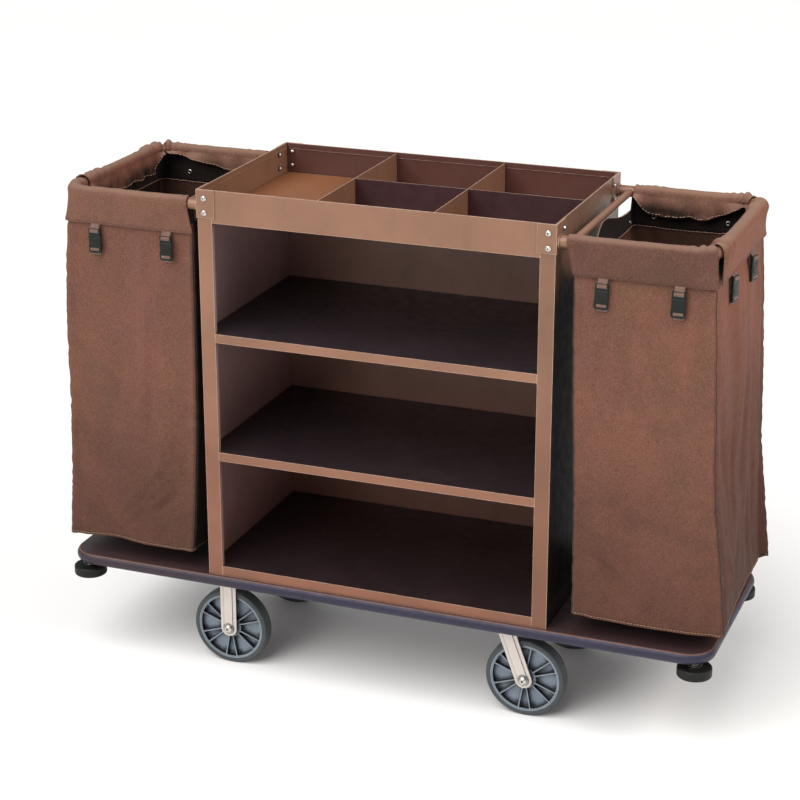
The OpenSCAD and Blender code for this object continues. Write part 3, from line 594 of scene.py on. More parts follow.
def outline(x_in, x_out, half_y, r_in, r_out):
    """One level ring of a bag seen from above: places, outward normals and what each column is on.

    It starts behind the cabinet-side wall at the back and runs: inner wall, front, outer wall, back.
    """
    corners = (
        (x_in + r_in, -half_y + r_in, r_in, math.pi),
        (x_out - r_out, -half_y + r_out, r_out, 1.5 * math.pi),
        (x_out - r_out, half_y - r_out, r_out, 2.0 * math.pi),
        (x_in + r_in, half_y - r_in, r_in, 2.5 * math.pi),
    )
    walls = (
        ((x_in, half_y - r_in), (x_in, -half_y + r_in), (-1, 0), LONG_COLUMNS, "inner"),
        ((x_in + r_in, -half_y), (x_out - r_out, -half_y), (0, -1), SHORT_COLUMNS, "front"),
        ((x_out, -half_y + r_out), (x_out, half_y - r_out), (1, 0), LONG_COLUMNS, "outer"),
        ((x_out - r_out, half_y), (x_in + r_in, half_y), (0, 1), SHORT_COLUMNS, "back"),
    )
    places = []
    normals = []
    for wall, corner in zip(walls, corners):
        (ax, ay), (bx, by), normal, count, _ = wall
        for k in range(count):
            f = k / count
            places.append((ax + (bx - ax) * f, ay + (by - ay) * f))
            normals.append(normal)
        cx, cy, radius, start = corner
        for k in range(CORNER_COLUMNS):
            angle = start + 0.5 * math.pi * k / CORNER_COLUMNS
            places.append((cx + radius * math.cos(angle), cy + radius * math.sin(angle)))
            normals.append((math.cos(angle), math.sin(angle)))
    return np.array(places), np.array(normals)


def column_kinds():
    """For each column: the wall it is on, and how far along that wall it is from 0 to 1."""
    kinds = []
    for wall, count in (
        ("inner", LONG_COLUMNS),
        ("front", SHORT_COLUMNS),
        ("outer", LONG_COLUMNS),
        ("back", SHORT_COLUMNS),
    ):
        kinds += [(wall, k / count) for k in range(count)]
        kinds += [("corner", k / CORNER_COLUMNS) for k in range(CORNER_COLUMNS)]
    return kinds


KINDS = column_kinds()
COLUMNS = len(KINDS)
WALL_STARTS = {
    "inner": 0,
    "front": LONG_COLUMNS + CORNER_COLUMNS,
    "outer": LONG_COLUMNS + SHORT_COLUMNS + 2 * CORNER_COLUMNS,
    "back": 2 * LONG_COLUMNS + SHORT_COLUMNS + 3 * CORNER_COLUMNS,
}
# The corner seams: in the middle of the inner corners, at the outer wall's side of the outer ones.
SEAM_COLUMNS = [
    LONG_COLUMNS + CORNER_COLUMNS // 2,
    WALL_STARTS["outer"] - 1,
    WALL_STARTS["outer"] + LONG_COLUMNS + 1,
    COLUMNS - CORNER_COLUMNS // 2,
]


# The cloth's outline at a few heights: top under the tube, under the cuff's hem, and down to the foot.
LEVELS = (1.083, 1.030, 0.95, 0.80, 0.60, 0.40, 0.287)
OUTER_X = {
    1: (0.7215, 0.7230, 0.7290, 0.7360, 0.7450, 0.7560, 0.7625),
    -1: (0.7215, 0.7240, 0.7320, 0.7380, 0.7430, 0.7490, 0.7560),
}
INNER_X = {
    1: (0.4330, 0.4320, 0.4330, 0.4365, 0.4415, 0.4465, 0.4495),
    -1: (0.4200, 0.4150, 0.4145, 0.4145, 0.4190, 0.4290, 0.4375),
}
HALF_Y = (0.2235, 0.2250, 0.2290, 0.2305, 0.2290, 0.2300, 0.2315)


def at_level(z, sizes):
    """A size at height z, between the sizes listed for the levels."""
    return float(np.interp(z, LEVELS[::-1], sizes[::-1]))


def ring_sizes(side, z):
    """Outline sizes of the bag's cloth at height z."""
    r_out = 0.013 + 0.038 * smooth_step(z, 1.020, 1.078)
    return at_level(z, INNER_X[side]), at_level(z, OUTER_X[side]), at_level(z, HALF_Y), 0.012, r_out


def edge_distance(kind, f):
    """0 at a wall's corner seams, 1 away from them."""
    if kind == "corner":
        return 0.0
    return min(1.0, 7.0 * f, 7.0 * (1 - f))


def seam_gap(kind, f):
    """Distance in metres from the nearest corner seam."""
    length = {"corner": 0.0, "inner": 0.43, "outer": 0.40, "front": 0.28, "back": 0.28}[kind]
    return min(f, 1 - f) * length + (0.0 if kind == "corner" else 0.004)


def inner_edge(f):
    """Height and outward lean of the cabinet-side wall's free top edge, from back to front."""
    lift = 0.020 * math.exp(-(((f - 0.42) / 0.17) ** 2))
    dip = -0.030 * math.exp(-(((f - 0.79) / 0.12) ** 2))
    lean = 0.011 * math.exp(-(((f - 0.42) / 0.2) ** 2)) - 0.022 * math.exp(-(((f - 0.80) / 0.12) ** 2))
    return 1.055 + lift + dip, lean


def wall_creases(seed):
    """Soft creases of one bag: place along the ring, height, direction, half width, reach and depth."""
    pick = random.Random(seed)
    made = []
    for _ in range(46):
        made.append(
            (
                pick.uniform(0, 1.52),
                pick.uniform(0.30, 1.02),
                pick.gauss(0, 0.16),
                pick.uniform(0.010, 0.026),
                pick.uniform(0.10, 0.34),
                pick.choice((-1, 1)) * pick.uniform(0.0016, 0.0058),
            )
        )
    for start in (0.50, 0.83, 1.30):
        for _ in range(4):
            made.append(
                (
                    start + pick.uniform(0.01, 0.07),
                    pick.uniform(0.32, 0.42),
                    pick.uniform(-0.95, -0.55),
                    pick.uniform(0.006, 0.011),
                    pick.uniform(0.05, 0.11),
                    pick.choice((-1, 1)) * pick.uniform(0.0030, 0.0056),
                )
            )
    return made


def crease_depth(u, z, creases):
    total = 0.0
    for place, height, tilt, width, reach, depth in creases:
        du = (u - place + 0.76) % 1.52 - 0.76
        dz = z - height
        if abs(du) > 0.3 or abs(dz) > 2 * reach:
            continue
        along = dz * math.cos(tilt) + du * math.sin(tilt)
        across = du * math.cos(tilt) - dz * math.sin(tilt)
        total += depth * math.exp(-((across / width) ** 2) - (along / reach) ** 4)
    return total


def bag_walls(side, seed):
    """The four walls of a bag as one strip: points by row, and the flat-cloth places."""
    creases = wall_creases(seed)
    rows = 104
    heights = [BAG_TOP_Z - (BAG_TOP_Z - BAG_FOOT_Z) * k / (rows - 1) for k in range(rows)]
    middle, _ = outline(*ring_sizes(side, 0.7))
    steps = np.linalg.norm(np.diff(np.vstack([middle, middle[:1]]), axis=0), axis=1)
    along = np.concatenate([[0.0], np.cumsum(steps)[:-1]])
    points = []
    places = []
    for z in heights:
        ring, normals = outline(*ring_sizes(side, z))
        row = []
        for c, (kind, f) in enumerate(KINDS):
            u = along[c]
            free = edge_distance(kind, f)
            drop = (BAG_TOP_Z - z) / (BAG_TOP_Z - BAG_FOOT_Z)
            calm_top = smooth_step(-z, -1.035, -0.975)
            calm_foot = 1 - 0.65 * smooth_step(z, 0.40, 0.285)
            push = 0.0095 * ripple(u, z, seed, 5.0, 1.7) + 0.0075 * ripple(u, z, seed + 9, 14.0, 4.0)
            push += 0.0012 * ripple(u, z, seed + 4, 46.0, 24.0)
            push += crease_depth(u, z, creases)
            push *= calm_top * calm_foot * (0.25 + 0.75 * free)
            hollow = -0.0030 * math.sin(math.pi * min(1, drop * 1.15)) * free
            gap = seam_gap(kind, f)
            pucker = 0.0040 * abs(ripple(gap * 0.6, z, seed + 15, 40.0, 42.0)) * math.exp(-((gap / 0.030) ** 2))
            hollow -= pucker * calm_top
            hollow -= 0.0034 * math.exp(-(((gap - 0.018) / 0.012) ** 2)) * calm_top
            x = ring[c, 0] + normals[c, 0] * (push + hollow)
            y = ring[c, 1] + normals[c, 1] * (push + hollow)
            level = z
            if kind == "inner":
                top, lean = inner_edge(f)
                share = smooth_step(z, 0.93, BAG_TOP_Z)
                level = z + (top - BAG_TOP_Z) * share
                x -= lean * smooth_step(z, 0.99, BAG_TOP_Z)
            low = smooth_step(-z, -0.42, -0.29)
            if kind == "front" and side < 0:
                level += 0.008 * math.exp(-(((f - 0.64) / 0.24) ** 2)) * low
            if side > 0:
                reach = {"front": f**1.5, "corner": 1.0, "outer": (1 - f) ** 4}.get(kind, 0.0)
                if kind == "corner" and c < WALL_STARTS["front"] or c > WALL_STARTS["back"] - CORNER_COLUMNS:
                    reach = 0.0
                x += 0.017 * reach * smooth_step(-z, -0.66, -0.28)
            level += 0.004 * ripple(u, 0.3, seed + 2, 6.0, 1.0) * smooth_step(-z, -0.45, -0.29)
            row.append(Vector((x * side, y, level)))
            places.append((u, z))
        points.append(row)
    return points, places


def hoop_place(u):
    """A place on the right hoop's centre line at length u from its front start, and its outward normal."""
    first = HOOP_OUT_X - HOOP_BEND - HOOP_START_X
    bend = 0.5 * math.pi * HOOP_BEND
    second = 2 * (HOOP_Y - HOOP_BEND)
    corner_x = HOOP_OUT_X - HOOP_BEND
    corner_y = HOOP_Y - HOOP_BEND
    if u < first:
        return (HOOP_START_X + u, -HOOP_Y), (0.0, -1.0)
    u -= first
    if u < bend:
        a = -0.5 * math.pi + u / HOOP_BEND
        return (corner_x + HOOP_BEND * math.cos(a), -corner_y + HOOP_BEND * math.sin(a)), (math.cos(a), math.sin(a))
    u -= bend
    if u < second:
        return (HOOP_OUT_X, -corner_y + u), (1.0, 0.0)
    u -= second
    if u < bend:
        a = u / HOOP_BEND
        return (corner_x + HOOP_BEND * math.cos(a), corner_y + HOOP_BEND * math.sin(a)), (math.cos(a), math.sin(a))
    u -= bend
    return (corner_x - u, HOOP_Y), (0.0, 1.0)


FIRST_BEND = HOOP_OUT_X - HOOP_BEND - HOOP_START_X
BEND_LENGTH = 0.5 * math.pi * HOOP_BEND
SECOND_BEND = FIRST_BEND + BEND_LENGTH + 2 * (HOOP_Y - HOOP_BEND)
HOOP_LENGTH = SECOND_BEND + BEND_LENGTH + FIRST_BEND


def cuff_profile(steps=44):
    """The cuff's section over the tube: (out from the tube's centre, up from it, share of the way)."""
    over = TUBE_R + 0.0017
    inside = HOOP_Z - CUFF_TAIL_Z
    outside = HOOP_Z - CUFF_HEM_Z
    turn = math.pi * over
    total = inside + turn + outside
    made = []
    for k in range(steps + 1):
        d = total * k / steps
        if d < inside:
            made.append((-over - 0.002 * (1 - d / inside), -(inside - d), d))
        elif d < inside + turn:
            a = math.pi - (d - inside) / over
            made.append((over * math.cos(a), over * math.sin(a), d))
        else:
            fall = d - inside - turn
            made.append((over - 0.0030 * (fall / outside) ** 1.5, -fall, d))
    return made, inside, turn, total


def cuff(name, side, seed, span, gathers, slide_start=(0, 0), slide_end=(0, 0), short=(0.03, 0.03), tail_share=1, cloth=None):
    """A cuff of cloth over the tube, from span[0] to span[1] along the hoop.

    gathers lists (place, spread, depth) of the bunched cloth. slide moves an end of the outer half along
    the tube, at its top and at its hem. short is how far from each end the inner tail is cut away.
    """
    folds = 0.011
    profile, inside, turn, total = cuff_profile()
    start, end = span
    count = max(8, int((end - start) / 0.0036))
    points = []
    places = []
    for k in range(count + 1):
        u = start + (end - start) * k / count
        bunch = 0.0
        for place, spread, depth in gathers:
            bunch += depth * math.exp(-(((u - place) / spread) ** 2))
        corner = 0.0
        for bend in (FIRST_BEND, SECOND_BEND):
            corner += math.exp(-(((u - bend - 0.5 * BEND_LENGTH) / 0.019) ** 2))
        near_start = 1 - smooth_step(u, start, start + 0.06)
        near_end = smooth_step(u, end - 0.06, end)
        kept = min(smooth_step(u, start - 0.002, start + short[0]), smooth_step(-u, -end - 0.002, short[1] - end))
        for out, up, d in profile:
            hang = max(0.0, (d - inside - turn)) / (total - inside - turn)
            over = math.exp(-(((d - inside - 0.62 * turn) / 0.028) ** 2))
            gate = smooth_step(d, inside + 0.27 * turn, inside + 0.5 * turn)
            slide = near_start * (slide_start[0] + (slide_start[1] - slide_start[0]) * hang)
            slide += near_end * (slide_end[0] + (slide_end[1] - slide_end[0]) * hang)
            (x, y), (nx, ny) = hoop_place(u + gate * slide)
            fold = abs(ripple(u - 0.25 * max(0.0, -up), d * 0.35, seed, 66.0, 26.0))
            small = abs(ripple(u, d, seed + 6, 36.0, 22.0)) * 0.0010
            lift = bunch * fold * (over + 0.45 * (1 - hang) * (d > inside)) + small * (0.4 + over)
            lift += abs(ripple(u, d, seed + 3, 11.0, 9.0)) * 0.0026 * hang
            if d < inside:
                fall = 1 - d / inside
                sway = 0.5 + 0.5 * math.sin(88.0 * u + 3.0 * ripple(u, d, seed + 8, 9.0, 5.0) + seed)
                lift = -(0.0012 + folds * sway + 0.35 * bunch * fold) * fall**0.8
                out_now = out + lift
                up_now = (up + 0.0022 * ripple(u, 0.0, seed + 5, 45.0, 1.0) * fall) * (0.1 + 0.9 * kept) * tail_share
            elif d < inside + turn:
                size = math.hypot(out, up)
                out_now = out * (1 + lift / size)
                up_now = up * (1 + lift / size)
            else:
                out_now = out + lift + 0.0150 * corner * hang**1.5
                up_now = up + 0.0012 * ripple(u, 0.0, seed + 7, 9.0, 1.0) * hang
            points.append(Vector(((x + nx * out_now) * side, y + ny * out_now, HOOP_Z + up_now)))
            places.append((u, d))
    width = len(profile)
    faces = grid_faces(count + 1, width)
    if side > 0:
        faces = [tuple(reversed(f)) for f in faces]
    made = make_mesh(name, points, faces, cloth or CANVAS_CUFF, places)
    hem = [points[k * width + width - 1] for k in range(count + 1)]
    above = [points[k * width + width - 2] for k in range(count + 1)]
    tail = [points[k * width + 1] for k in range(count + 1)]
    rims = ([points[k] for k in range(width)], [points[count * width + k] for k in range(width)])
    thicken(made, CLOTH, 0.0)
    return made, (end - start, total), hem, above, tail, rims


def offset_line(line, centre, distance):
    """The line moved away from a centre axis, level by level."""
    made = []
    for p in line:
        out = Vector((p.x - centre.x, p.y - centre.y, 0)).normalized()
        made.append(p + out * distance)
    return made


def wall_normal(points, row, column):
    """Outward direction of the bag's cloth at one grid point."""
    width = len(points[0])
    a = points[row][(column + 1) % width] - points[row][(column - 1) % width]
    b = points[min(row + 1, len(points) - 1)][column] - points[max(row - 1, 0)][column]
    n = a.cross(b).normalized()
    centre = sum((p for p in points[row]), Vector()) / width
    if n.dot(points[row][column] - centre) < 0:
        n = -n
    return n


STRAP_HALF = 0.0104


def strap_piece(name, line, face, out, across):
    """A strap of webbing through the places (depth from the face, height)."""
    points = []
    places = []
    run = 0.0
    last = line[0]
    for depth, z in line:
        run += math.hypot(depth - last[0], z - last[1])
        last = (depth, z)
        for k in range(7):
            w = (k / 6 - 0.5) * 2 * STRAP_HALF
            p = face + out * depth + across * w
            points.append(Vector((p.x, p.y, z)))
            places.append((w, run))
    made = make_mesh(name, points, grid_faces(len(line), 7), WEBBING, places)
    return thicken(made, 0.0013, 0.0)


def webbing_loop(name, face, out, across, low, behind, front):
    """A strap that comes from under the cuff's hem, goes round the buckle's bar and back under the hem.

    face is the strap's middle at the bar; out and across are unit directions.
    """
    tuck = -0.0052
    hem = CUFF_HEM_Z + 0.0015
    line = [(tuck, hem + 0.018), (tuck, hem)]
    middle = (front + behind) / 2
    reach = (front - behind) / 2
    line.append((0.35 * tuck + 0.65 * behind, 0.5 * hem + 0.5 * low))
    for k in range(9):
        a = math.pi * k / 8
        line.append((middle - reach * math.cos(a), low - 0.7 * reach * math.sin(a)))
    line.append((0.88 * front, low + 0.0045))
    line.append((0.45 * front, 0.55 * low + 0.45 * hem))
    line.append((0.02 * front, 0.22 * low + 0.78 * hem))
    line.append((tuck + 0.0017, hem))
    line.append((tuck + 0.0015, hem + 0.018))
    return strap_piece(name, line, face, out, across)


def wall_reach(points, face, out):
    """How far the bag's wall stands out past a buckle's place, over the buckle's height and width."""
    reach = -1.0
    for row in points:
        if row[0].z > 1.035 or row[0].z < 0.960:
            continue
        for p in row:
            gap = p - face
            aside = abs(gap.x * out.y - gap.y * out.x)
            depth = gap.x * out.x + gap.y * out.y
            if aside < 0.017 and depth > -0.03:
                reach = max(reach, depth)
    return reach


def threaded_strap(name, face, out, across, middle, front):
    """The end of the lower strap where it shows in the buckle's slot, bulging out of it and tucked in again."""
    line = [
        (0.0004, middle - 0.013),
        (0.0006, middle - 0.0054),
        (0.45 * front, middle - 0.0037),
        (0.86 * front, middle - 0.0031),
        (front, middle - 0.0017),
        (front + 0.0003, middle),
        (front, middle + 0.0018),
        (0.84 * front, middle + 0.0032),
        (0.45 * front, middle + 0.0037),
        (0.0006, middle + 0.0055),
        (0.0004, middle + 0.026),
    ]
    return strap_piece(name, line, face, out, across)


def plate_shape(name, rings, thickness, bevel, material):
    """A moulded plate: flat rings (the first is the outside, the rest are holes) given thickness and round edges."""
    curve = bpy.data.curves.new(name, "CURVE")
    curve.dimensions = "2D"
    curve.fill_mode = "BOTH"
    curve.extrude = thickness / 2 - bevel
    curve.bevel_depth = bevel
    curve.bevel_resolution = 2
    for ring in rings:
        spline = curve.splines.new("POLY")
        spline.points.add(len(ring) - 1)
        for point, (x, y) in zip(spline.points, ring):
            point.co = (x, y, 0, 1)
        spline.use_cyclic_u = True
    holder = bpy.data.objects.new(name, curve)
    bpy.context.scene.collection.objects.link(holder)
    bpy.context.view_layer.update()
    mesh = bpy.data.meshes.new_from_object(holder.evaluated_get(bpy.context.evaluated_depsgraph_get()))
    bpy.data.objects.remove(holder)
    mesh.materials.clear()
    mesh.materials.append(material)
    made = bpy.data.objects.new(name, mesh)
    bpy.context.scene.collection.objects.link(made)
    return made


def rounded_ring(x0, y0, x1, y1, radius, steps=5):
    ring = []
    for cx, cy, start in (
        (x1 - radius, y1 - radius, 0),
        (x0 + radius, y1 - radius, 90),
        (x0 + radius, y0 + radius, 180),
        (x1 - radius, y0 + radius, 270),
    ):
        for k in range(steps + 1):
            a = math.radians(start + 90 * k / steps)
            ring.append((cx + radius * math.cos(a), cy + radius * math.sin(a)))
    return ring


def buckle_template():
    """Closed side-release buckle, 27.5 by 53 mm, hanging down from the origin in the x-z plane, face at -y."""
    scale = 0.86
    parts = []
    female = [
        (-0.0130, -0.0615), (0.0130, -0.0615), (0.0152, -0.0600), (0.0160, -0.0570), (0.0160, -0.0440),
        (0.0150, -0.0405), (0.0122, -0.0375), (0.0112, -0.0340), (0.0118, -0.0300), (0.0150, -0.0262),
        (0.0160, -0.0238), (0.0156, -0.0215), (-0.0156, -0.0215), (-0.0160, -0.0238), (-0.0150, -0.0262),
        (-0.0118, -0.0300), (-0.0112, -0.0340), (-0.0122, -0.0375), (-0.0150, -0.0405), (-0.0160, -0.0440),
        (-0.0160, -0.0570), (-0.0152, -0.0600),
    ]
    slot = list(reversed(rounded_ring(-0.0124, -0.0578, 0.0124, -0.0490, 0.0012)))
    parts.append(plate_shape("female", [female, slot], 0.0072, 0.0013, BUCKLE))
    panel = rounded_ring(-0.0090, -0.0440, 0.0090, -0.0255, 0.0030)
    parts.append(plate_shape("panel", [panel], 0.0088, 0.0010, BUCKLE))
    male = rounded_ring(-0.0150, -0.0205, 0.0150, -0.0005, 0.0026)
    bar = list(reversed(rounded_ring(-0.0124, -0.0112, 0.0124, -0.0040, 0.0012)))
    parts.append(plate_shape("male", [male, bar], 0.0070, 0.0013, BUCKLE))
    for turn in (-1, 1):
        prong = [
            (0.0118, -0.0200), (0.0136, -0.0200), (0.0152, -0.0285), (0.0158, -0.0325), (0.0156, -0.0368),
            (0.0136, -0.0398), (0.0112, -0.0398), (0.0116, -0.0320),
        ]
        prong = [(turn * x, y) for x, y in prong]
        if turn < 0:
            prong.reverse()
        parts.append(plate_shape("prong", [prong], 0.0048, 0.0009, BUCKLE))
    ledge = rounded_ring(-0.0140, -0.0236, 0.0140, -0.0192, 0.0015)
    parts.append(plate_shape("ledge", [ledge], 0.0082, 0.0010, BUCKLE))
    points = []
    faces = []
    for part in parts:
        start = len(points)
        points += [Vector((v.co.x, v.co.z, v.co.y)) * scale for v in part.data.vertices]
        faces += [tuple(start + i for i in reversed(f.vertices)) for f in part.data.polygons]
        bpy.data.objects.remove(part)
    return points, faces


def bar_of(points, faces, name, material):
    made = make_mesh(name, points, faces, material)
    made.data.set_sharp_from_angle(angle=math.radians(38))
    return made


BUCKLE_POINTS, BUCKLE_FACES = buckle_template()


def disc(points, faces, centre, out, radius, height, hole=0.0, sides=20):
    """Adds a small domed ring or button to a list of points and faces."""
    side = out.cross(Vector((0, 0, 1)))
    if side.length < 0.1:
        side = Vector((1, 0, 0))
    side.normalize()
    over = out.cross(side)
    rings = [(radius, 0.0), (radius, 0.35 * height), (0.86 * radius, 0.8 * height), (0.6 * radius, height)]
    if hole:
        rings += [(hole * 1.25, 0.82 * height), (hole, 0.45 * height), (hole, 0.0)]
    start = len(points)
    for size, up in rings:
        for k in range(sides):
            a = 2 * math.pi * k / sides
            points.append(centre + side * math.cos(a) * size + over * math.sin(a) * size + out * up)
    for ring in range(len(rings) - 1):
        for k in range(sides):
            m = (k + 1) % sides
            base = start + ring * sides
            faces.append((base + k, base + m, base + sides + m, base + sides + k))
    if hole:
        last = start + (len(rings) - 1) * sides
        for k in range(sides):
            m = (k + 1) % sides
            faces.append((last + k, last + m, start + m, start + k))
    else:
        last = start + (len(rings) - 1) * sides
        faces.append(tuple(last + k for k in range(sides)))
        faces.append(tuple(start + k for k in reversed(range(sides))))


def build_bag(label, side, seed):
    """One bag with its cuffs, binding band, seams, straps and buckles; every piece rides on the cart."""
    pieces = []
    points, places = bag_walls(side, seed)
    rows = len(points)
    flat_points = [p for row in points for p in row]
    faces = grid_faces(rows, COLUMNS, True)
    if side < 0:
        faces = [tuple(reversed(f)) for f in faces]
    walls = make_mesh(f"bag_{label}_walls", flat_points, faces, CANVAS, places)
    thicken(walls, CLOTH, 0.0)
    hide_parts(f"bag_{label}")

    foot = points[-1]
    centre = sum(foot, Vector()) / COLUMNS
    floor_points = []
    floor_places = []
    shares = (1.0, 0.97, 0.9, 0.8, 0.65, 0.5, 0.35, 0.2, 0.08)
    for share in shares:
        for p in foot:
            q = centre.lerp(p, share)
            sag = -0.0050 * (1 - share**3) + 0.0022 * ripple(q.x, q.y, seed + 1, 14.0, 14.0) * (1 - share)
            floor_points.append(Vector((q.x, q.y, p.z * share + centre.z * (1 - share) + sag + 0.0012)))
            floor_places.append((q.x, q.y))
    floor_faces = grid_faces(len(shares), COLUMNS, True)
    floor_faces.append(tuple((len(shares) - 1) * COLUMNS + k for k in range(COLUMNS)))
    if side < 0:
        floor_faces = [tuple(reversed(f)) for f in floor_faces]
    base = make_mesh(f"bag_{label}_base", floor_points, floor_faces, CANVAS, floor_places)
    thicken(base, CLOTH, 0.0)

    # Black binding band sewn round the inside of the mouth, with a light line of stitches at its foot.
    band_rows = 9
    outside_rows = 6
    band_points = []
    band_places = []
    low_line = []
    ring_centre = sum(points[10], Vector()) / COLUMNS
    for k in range(-outside_rows, band_rows):
        outside = k < 0
        share = (-1 - k) / (outside_rows - 1) if outside else k / (band_rows - 1)
        if outside:
            share = 0.5 * (1 - (k + outside_rows) / (outside_rows - 1))
        for c in range(COLUMNS):
            kind, f = KINDS[c]
            top = points[0][c].z + 0.0004
            droop = 0.004 * ripple(c / COLUMNS, 0.0, seed + 12, 9.0, 1.0)
            z = top + (BAND_LOW_Z + droop - top) * share
            column = [row[c] for row in points]
            levels = [p.z for p in column]
            index = 0
            while index < rows - 2 and levels[index + 1] > z:
                index += 1
            a, b = column[index], column[index + 1]
            t = min(1.0, max(0.0, (a.z - z) / max(1e-6, a.z - b.z)))
            p = a.lerp(b, t)
            inward = Vector((ring_centre.x - p.x, ring_centre.y - p.y, 0))
            if kind in ("front", "back"):
                inward.x = 0
            elif kind in ("inner", "outer"):
                inward.y = 0
            inward.normalize()
            gap = 0.0020 + 0.0026 * abs(ripple(c / COLUMNS, share, seed + 14, 34.0, 2.0)) * share
            if outside:
                gap = -0.0014
            q = p + inward * gap
            over = 0.0012 if share < 0.01 else 0.0
            band_points.append(Vector((q.x, q.y, z + over)))
            band_places.append((places[c][0], z + (0.2 if outside else 0.0)))
            if k == band_rows - 1:
                low_line.append(Vector((q.x, q.y, z)) + inward * 0.0012)
    band_faces = grid_faces(band_rows + outside_rows, COLUMNS, True)
    if side > 0:
        band_faces = [tuple(reversed(f)) for f in band_faces]
    band = make_mesh(f"bag_{label}_band", band_points, band_faces, LINING, band_places)
    thicken(band, 0.0012, 0.0)

    # Piping: the free top edge beside the cabinet, the four corner seams and the foot.
    count = LONG_COLUMNS
    edge_line = [points[0][c] + Vector((0, 0, 0.0006)) for c in range(0, count + 1)]
    edge_piping = tube_along(f"bag_{label}_edge_piping", edge_line, 0.0021, THREAD)
    seam_points = []
    seams = []
    for number, c in enumerate(SEAM_COLUMNS):
        line = []
        for r in range(5, rows):
            line.append(points[r][c] + wall_normal(points, r, c) * 0.0008)
        seams.append(line)
        piece = tube_along(f"bag_{label}_seam_{number}", line, 0.0014, SEAM)
        pieces.append(piece)
    foot_line = [p + (p - centre).normalized() * 0.0004 for p in foot]
    foot_piping = tube_along(f"bag_{label}_foot_piping", foot_line, 0.0017, CANVAS, closed=True)

    # Stitch lines on the body: along each corner seam's piping and above the foot.
    lines = []
    for c in SEAM_COLUMNS:
        for step in (-1, 1):
            d = (c + step * 2) % COLUMNS
            lines.append([points[r][d] + wall_normal(points, r, d) * 0.0010 for r in range(9, rows - 1)])
    above_foot = []
    for c in range(COLUMNS):
        above_foot.append(foot[c].lerp(points[rows - 2][c], 0.4) + wall_normal(points, rows - 2, c) * 0.0012)
    body_stitches = stitches(f"bag_{label}_stitches", lines, THREAD_DARK)
    foot_stitches = stitches(
        f"bag_{label}_foot_stitches", [above_foot + above_foot[:1]], THREAD, 0.0072, 0.0056, 0.0006
    )
    band_stitches = stitches(
        f"bag_{label}_band_stitches", [low_line + low_line[:1]], THREAD, 0.0085, 0.0080, 0.0010, 0.0006
    )

    # Cuffs over the hoop, notched at both outer bends.
    notch = 0.0055
    turned = 0.65 if side > 0 else 1.25
    slide = (-0.0177, -0.0039) if side > 0 else (-0.0142, -0.0254)
    first_notch = FIRST_BEND + turned * BEND_LENGTH
    second_notch = SECOND_BEND + 0.5 * BEND_LENGTH
    # The right bag's front cuff takes the shaded copy: painted shade.
    front_cloth = CANVAS_CUFF_SHADED if side > 0 else CANVAS_CUFF
    back_short = (0.115, 0.038) if side > 0 else (0.20, 0.03)
    back_share = 1.0 if side > 0 else 0.75
    cuffs = [
        cuff(f"bag_{label}_cuff_front", side, seed + 20, (0.0, first_notch - notch),
             [(first_notch - 0.02, 0.034, 0.0080), (0.0, 0.022, 0.0040)], slide, cloth=front_cloth),
        cuff(f"bag_{label}_cuff_outer", side, seed + 30, (first_notch + notch, second_notch - notch),
             [(first_notch + 0.030, 0.060, 0.0130), (second_notch - 0.035, 0.055, 0.0110)], short=(0.03, 0.07)),
        cuff(f"bag_{label}_cuff_back", side, seed + 40, (second_notch + notch, HOOP_LENGTH),
             [(second_notch + 0.02, 0.045, 0.0100), (HOOP_LENGTH - 0.03, 0.060, 0.0040)],
             slide_end=(-0.002, -0.004), short=back_short, tail_share=back_share),
    ]
    hem_lines = []
    tail_lines = []
    cuff_centre = Vector((side * 0.58, 0, 0))
    for made, flat, hem, above, tail, rims in cuffs:
        pieces.append(tube_along(made.name + "_hem", hem, 0.0010, made.data.materials[0], squash=1.5))
        hem_lines.append(offset_line(above, cuff_centre, 0.0011))
        tail_lines.append(offset_line(tail, cuff_centre, -0.0012))
        for rim in rims:
            half = len(rim) // 2
            hem_lines.append(offset_line(rim[half:], cuff_centre, 0.0012))
    cuff_stitches = stitches(f"bag_{label}_cuff_stitches", hem_lines, THREAD_DARK, 0.0066, 0.0046, 0.0006)
    tail_stitches = stitches(f"bag_{label}_tail_stitches", tail_lines, THREAD, 0.0080, 0.0060, 0.0008, 0.0010)

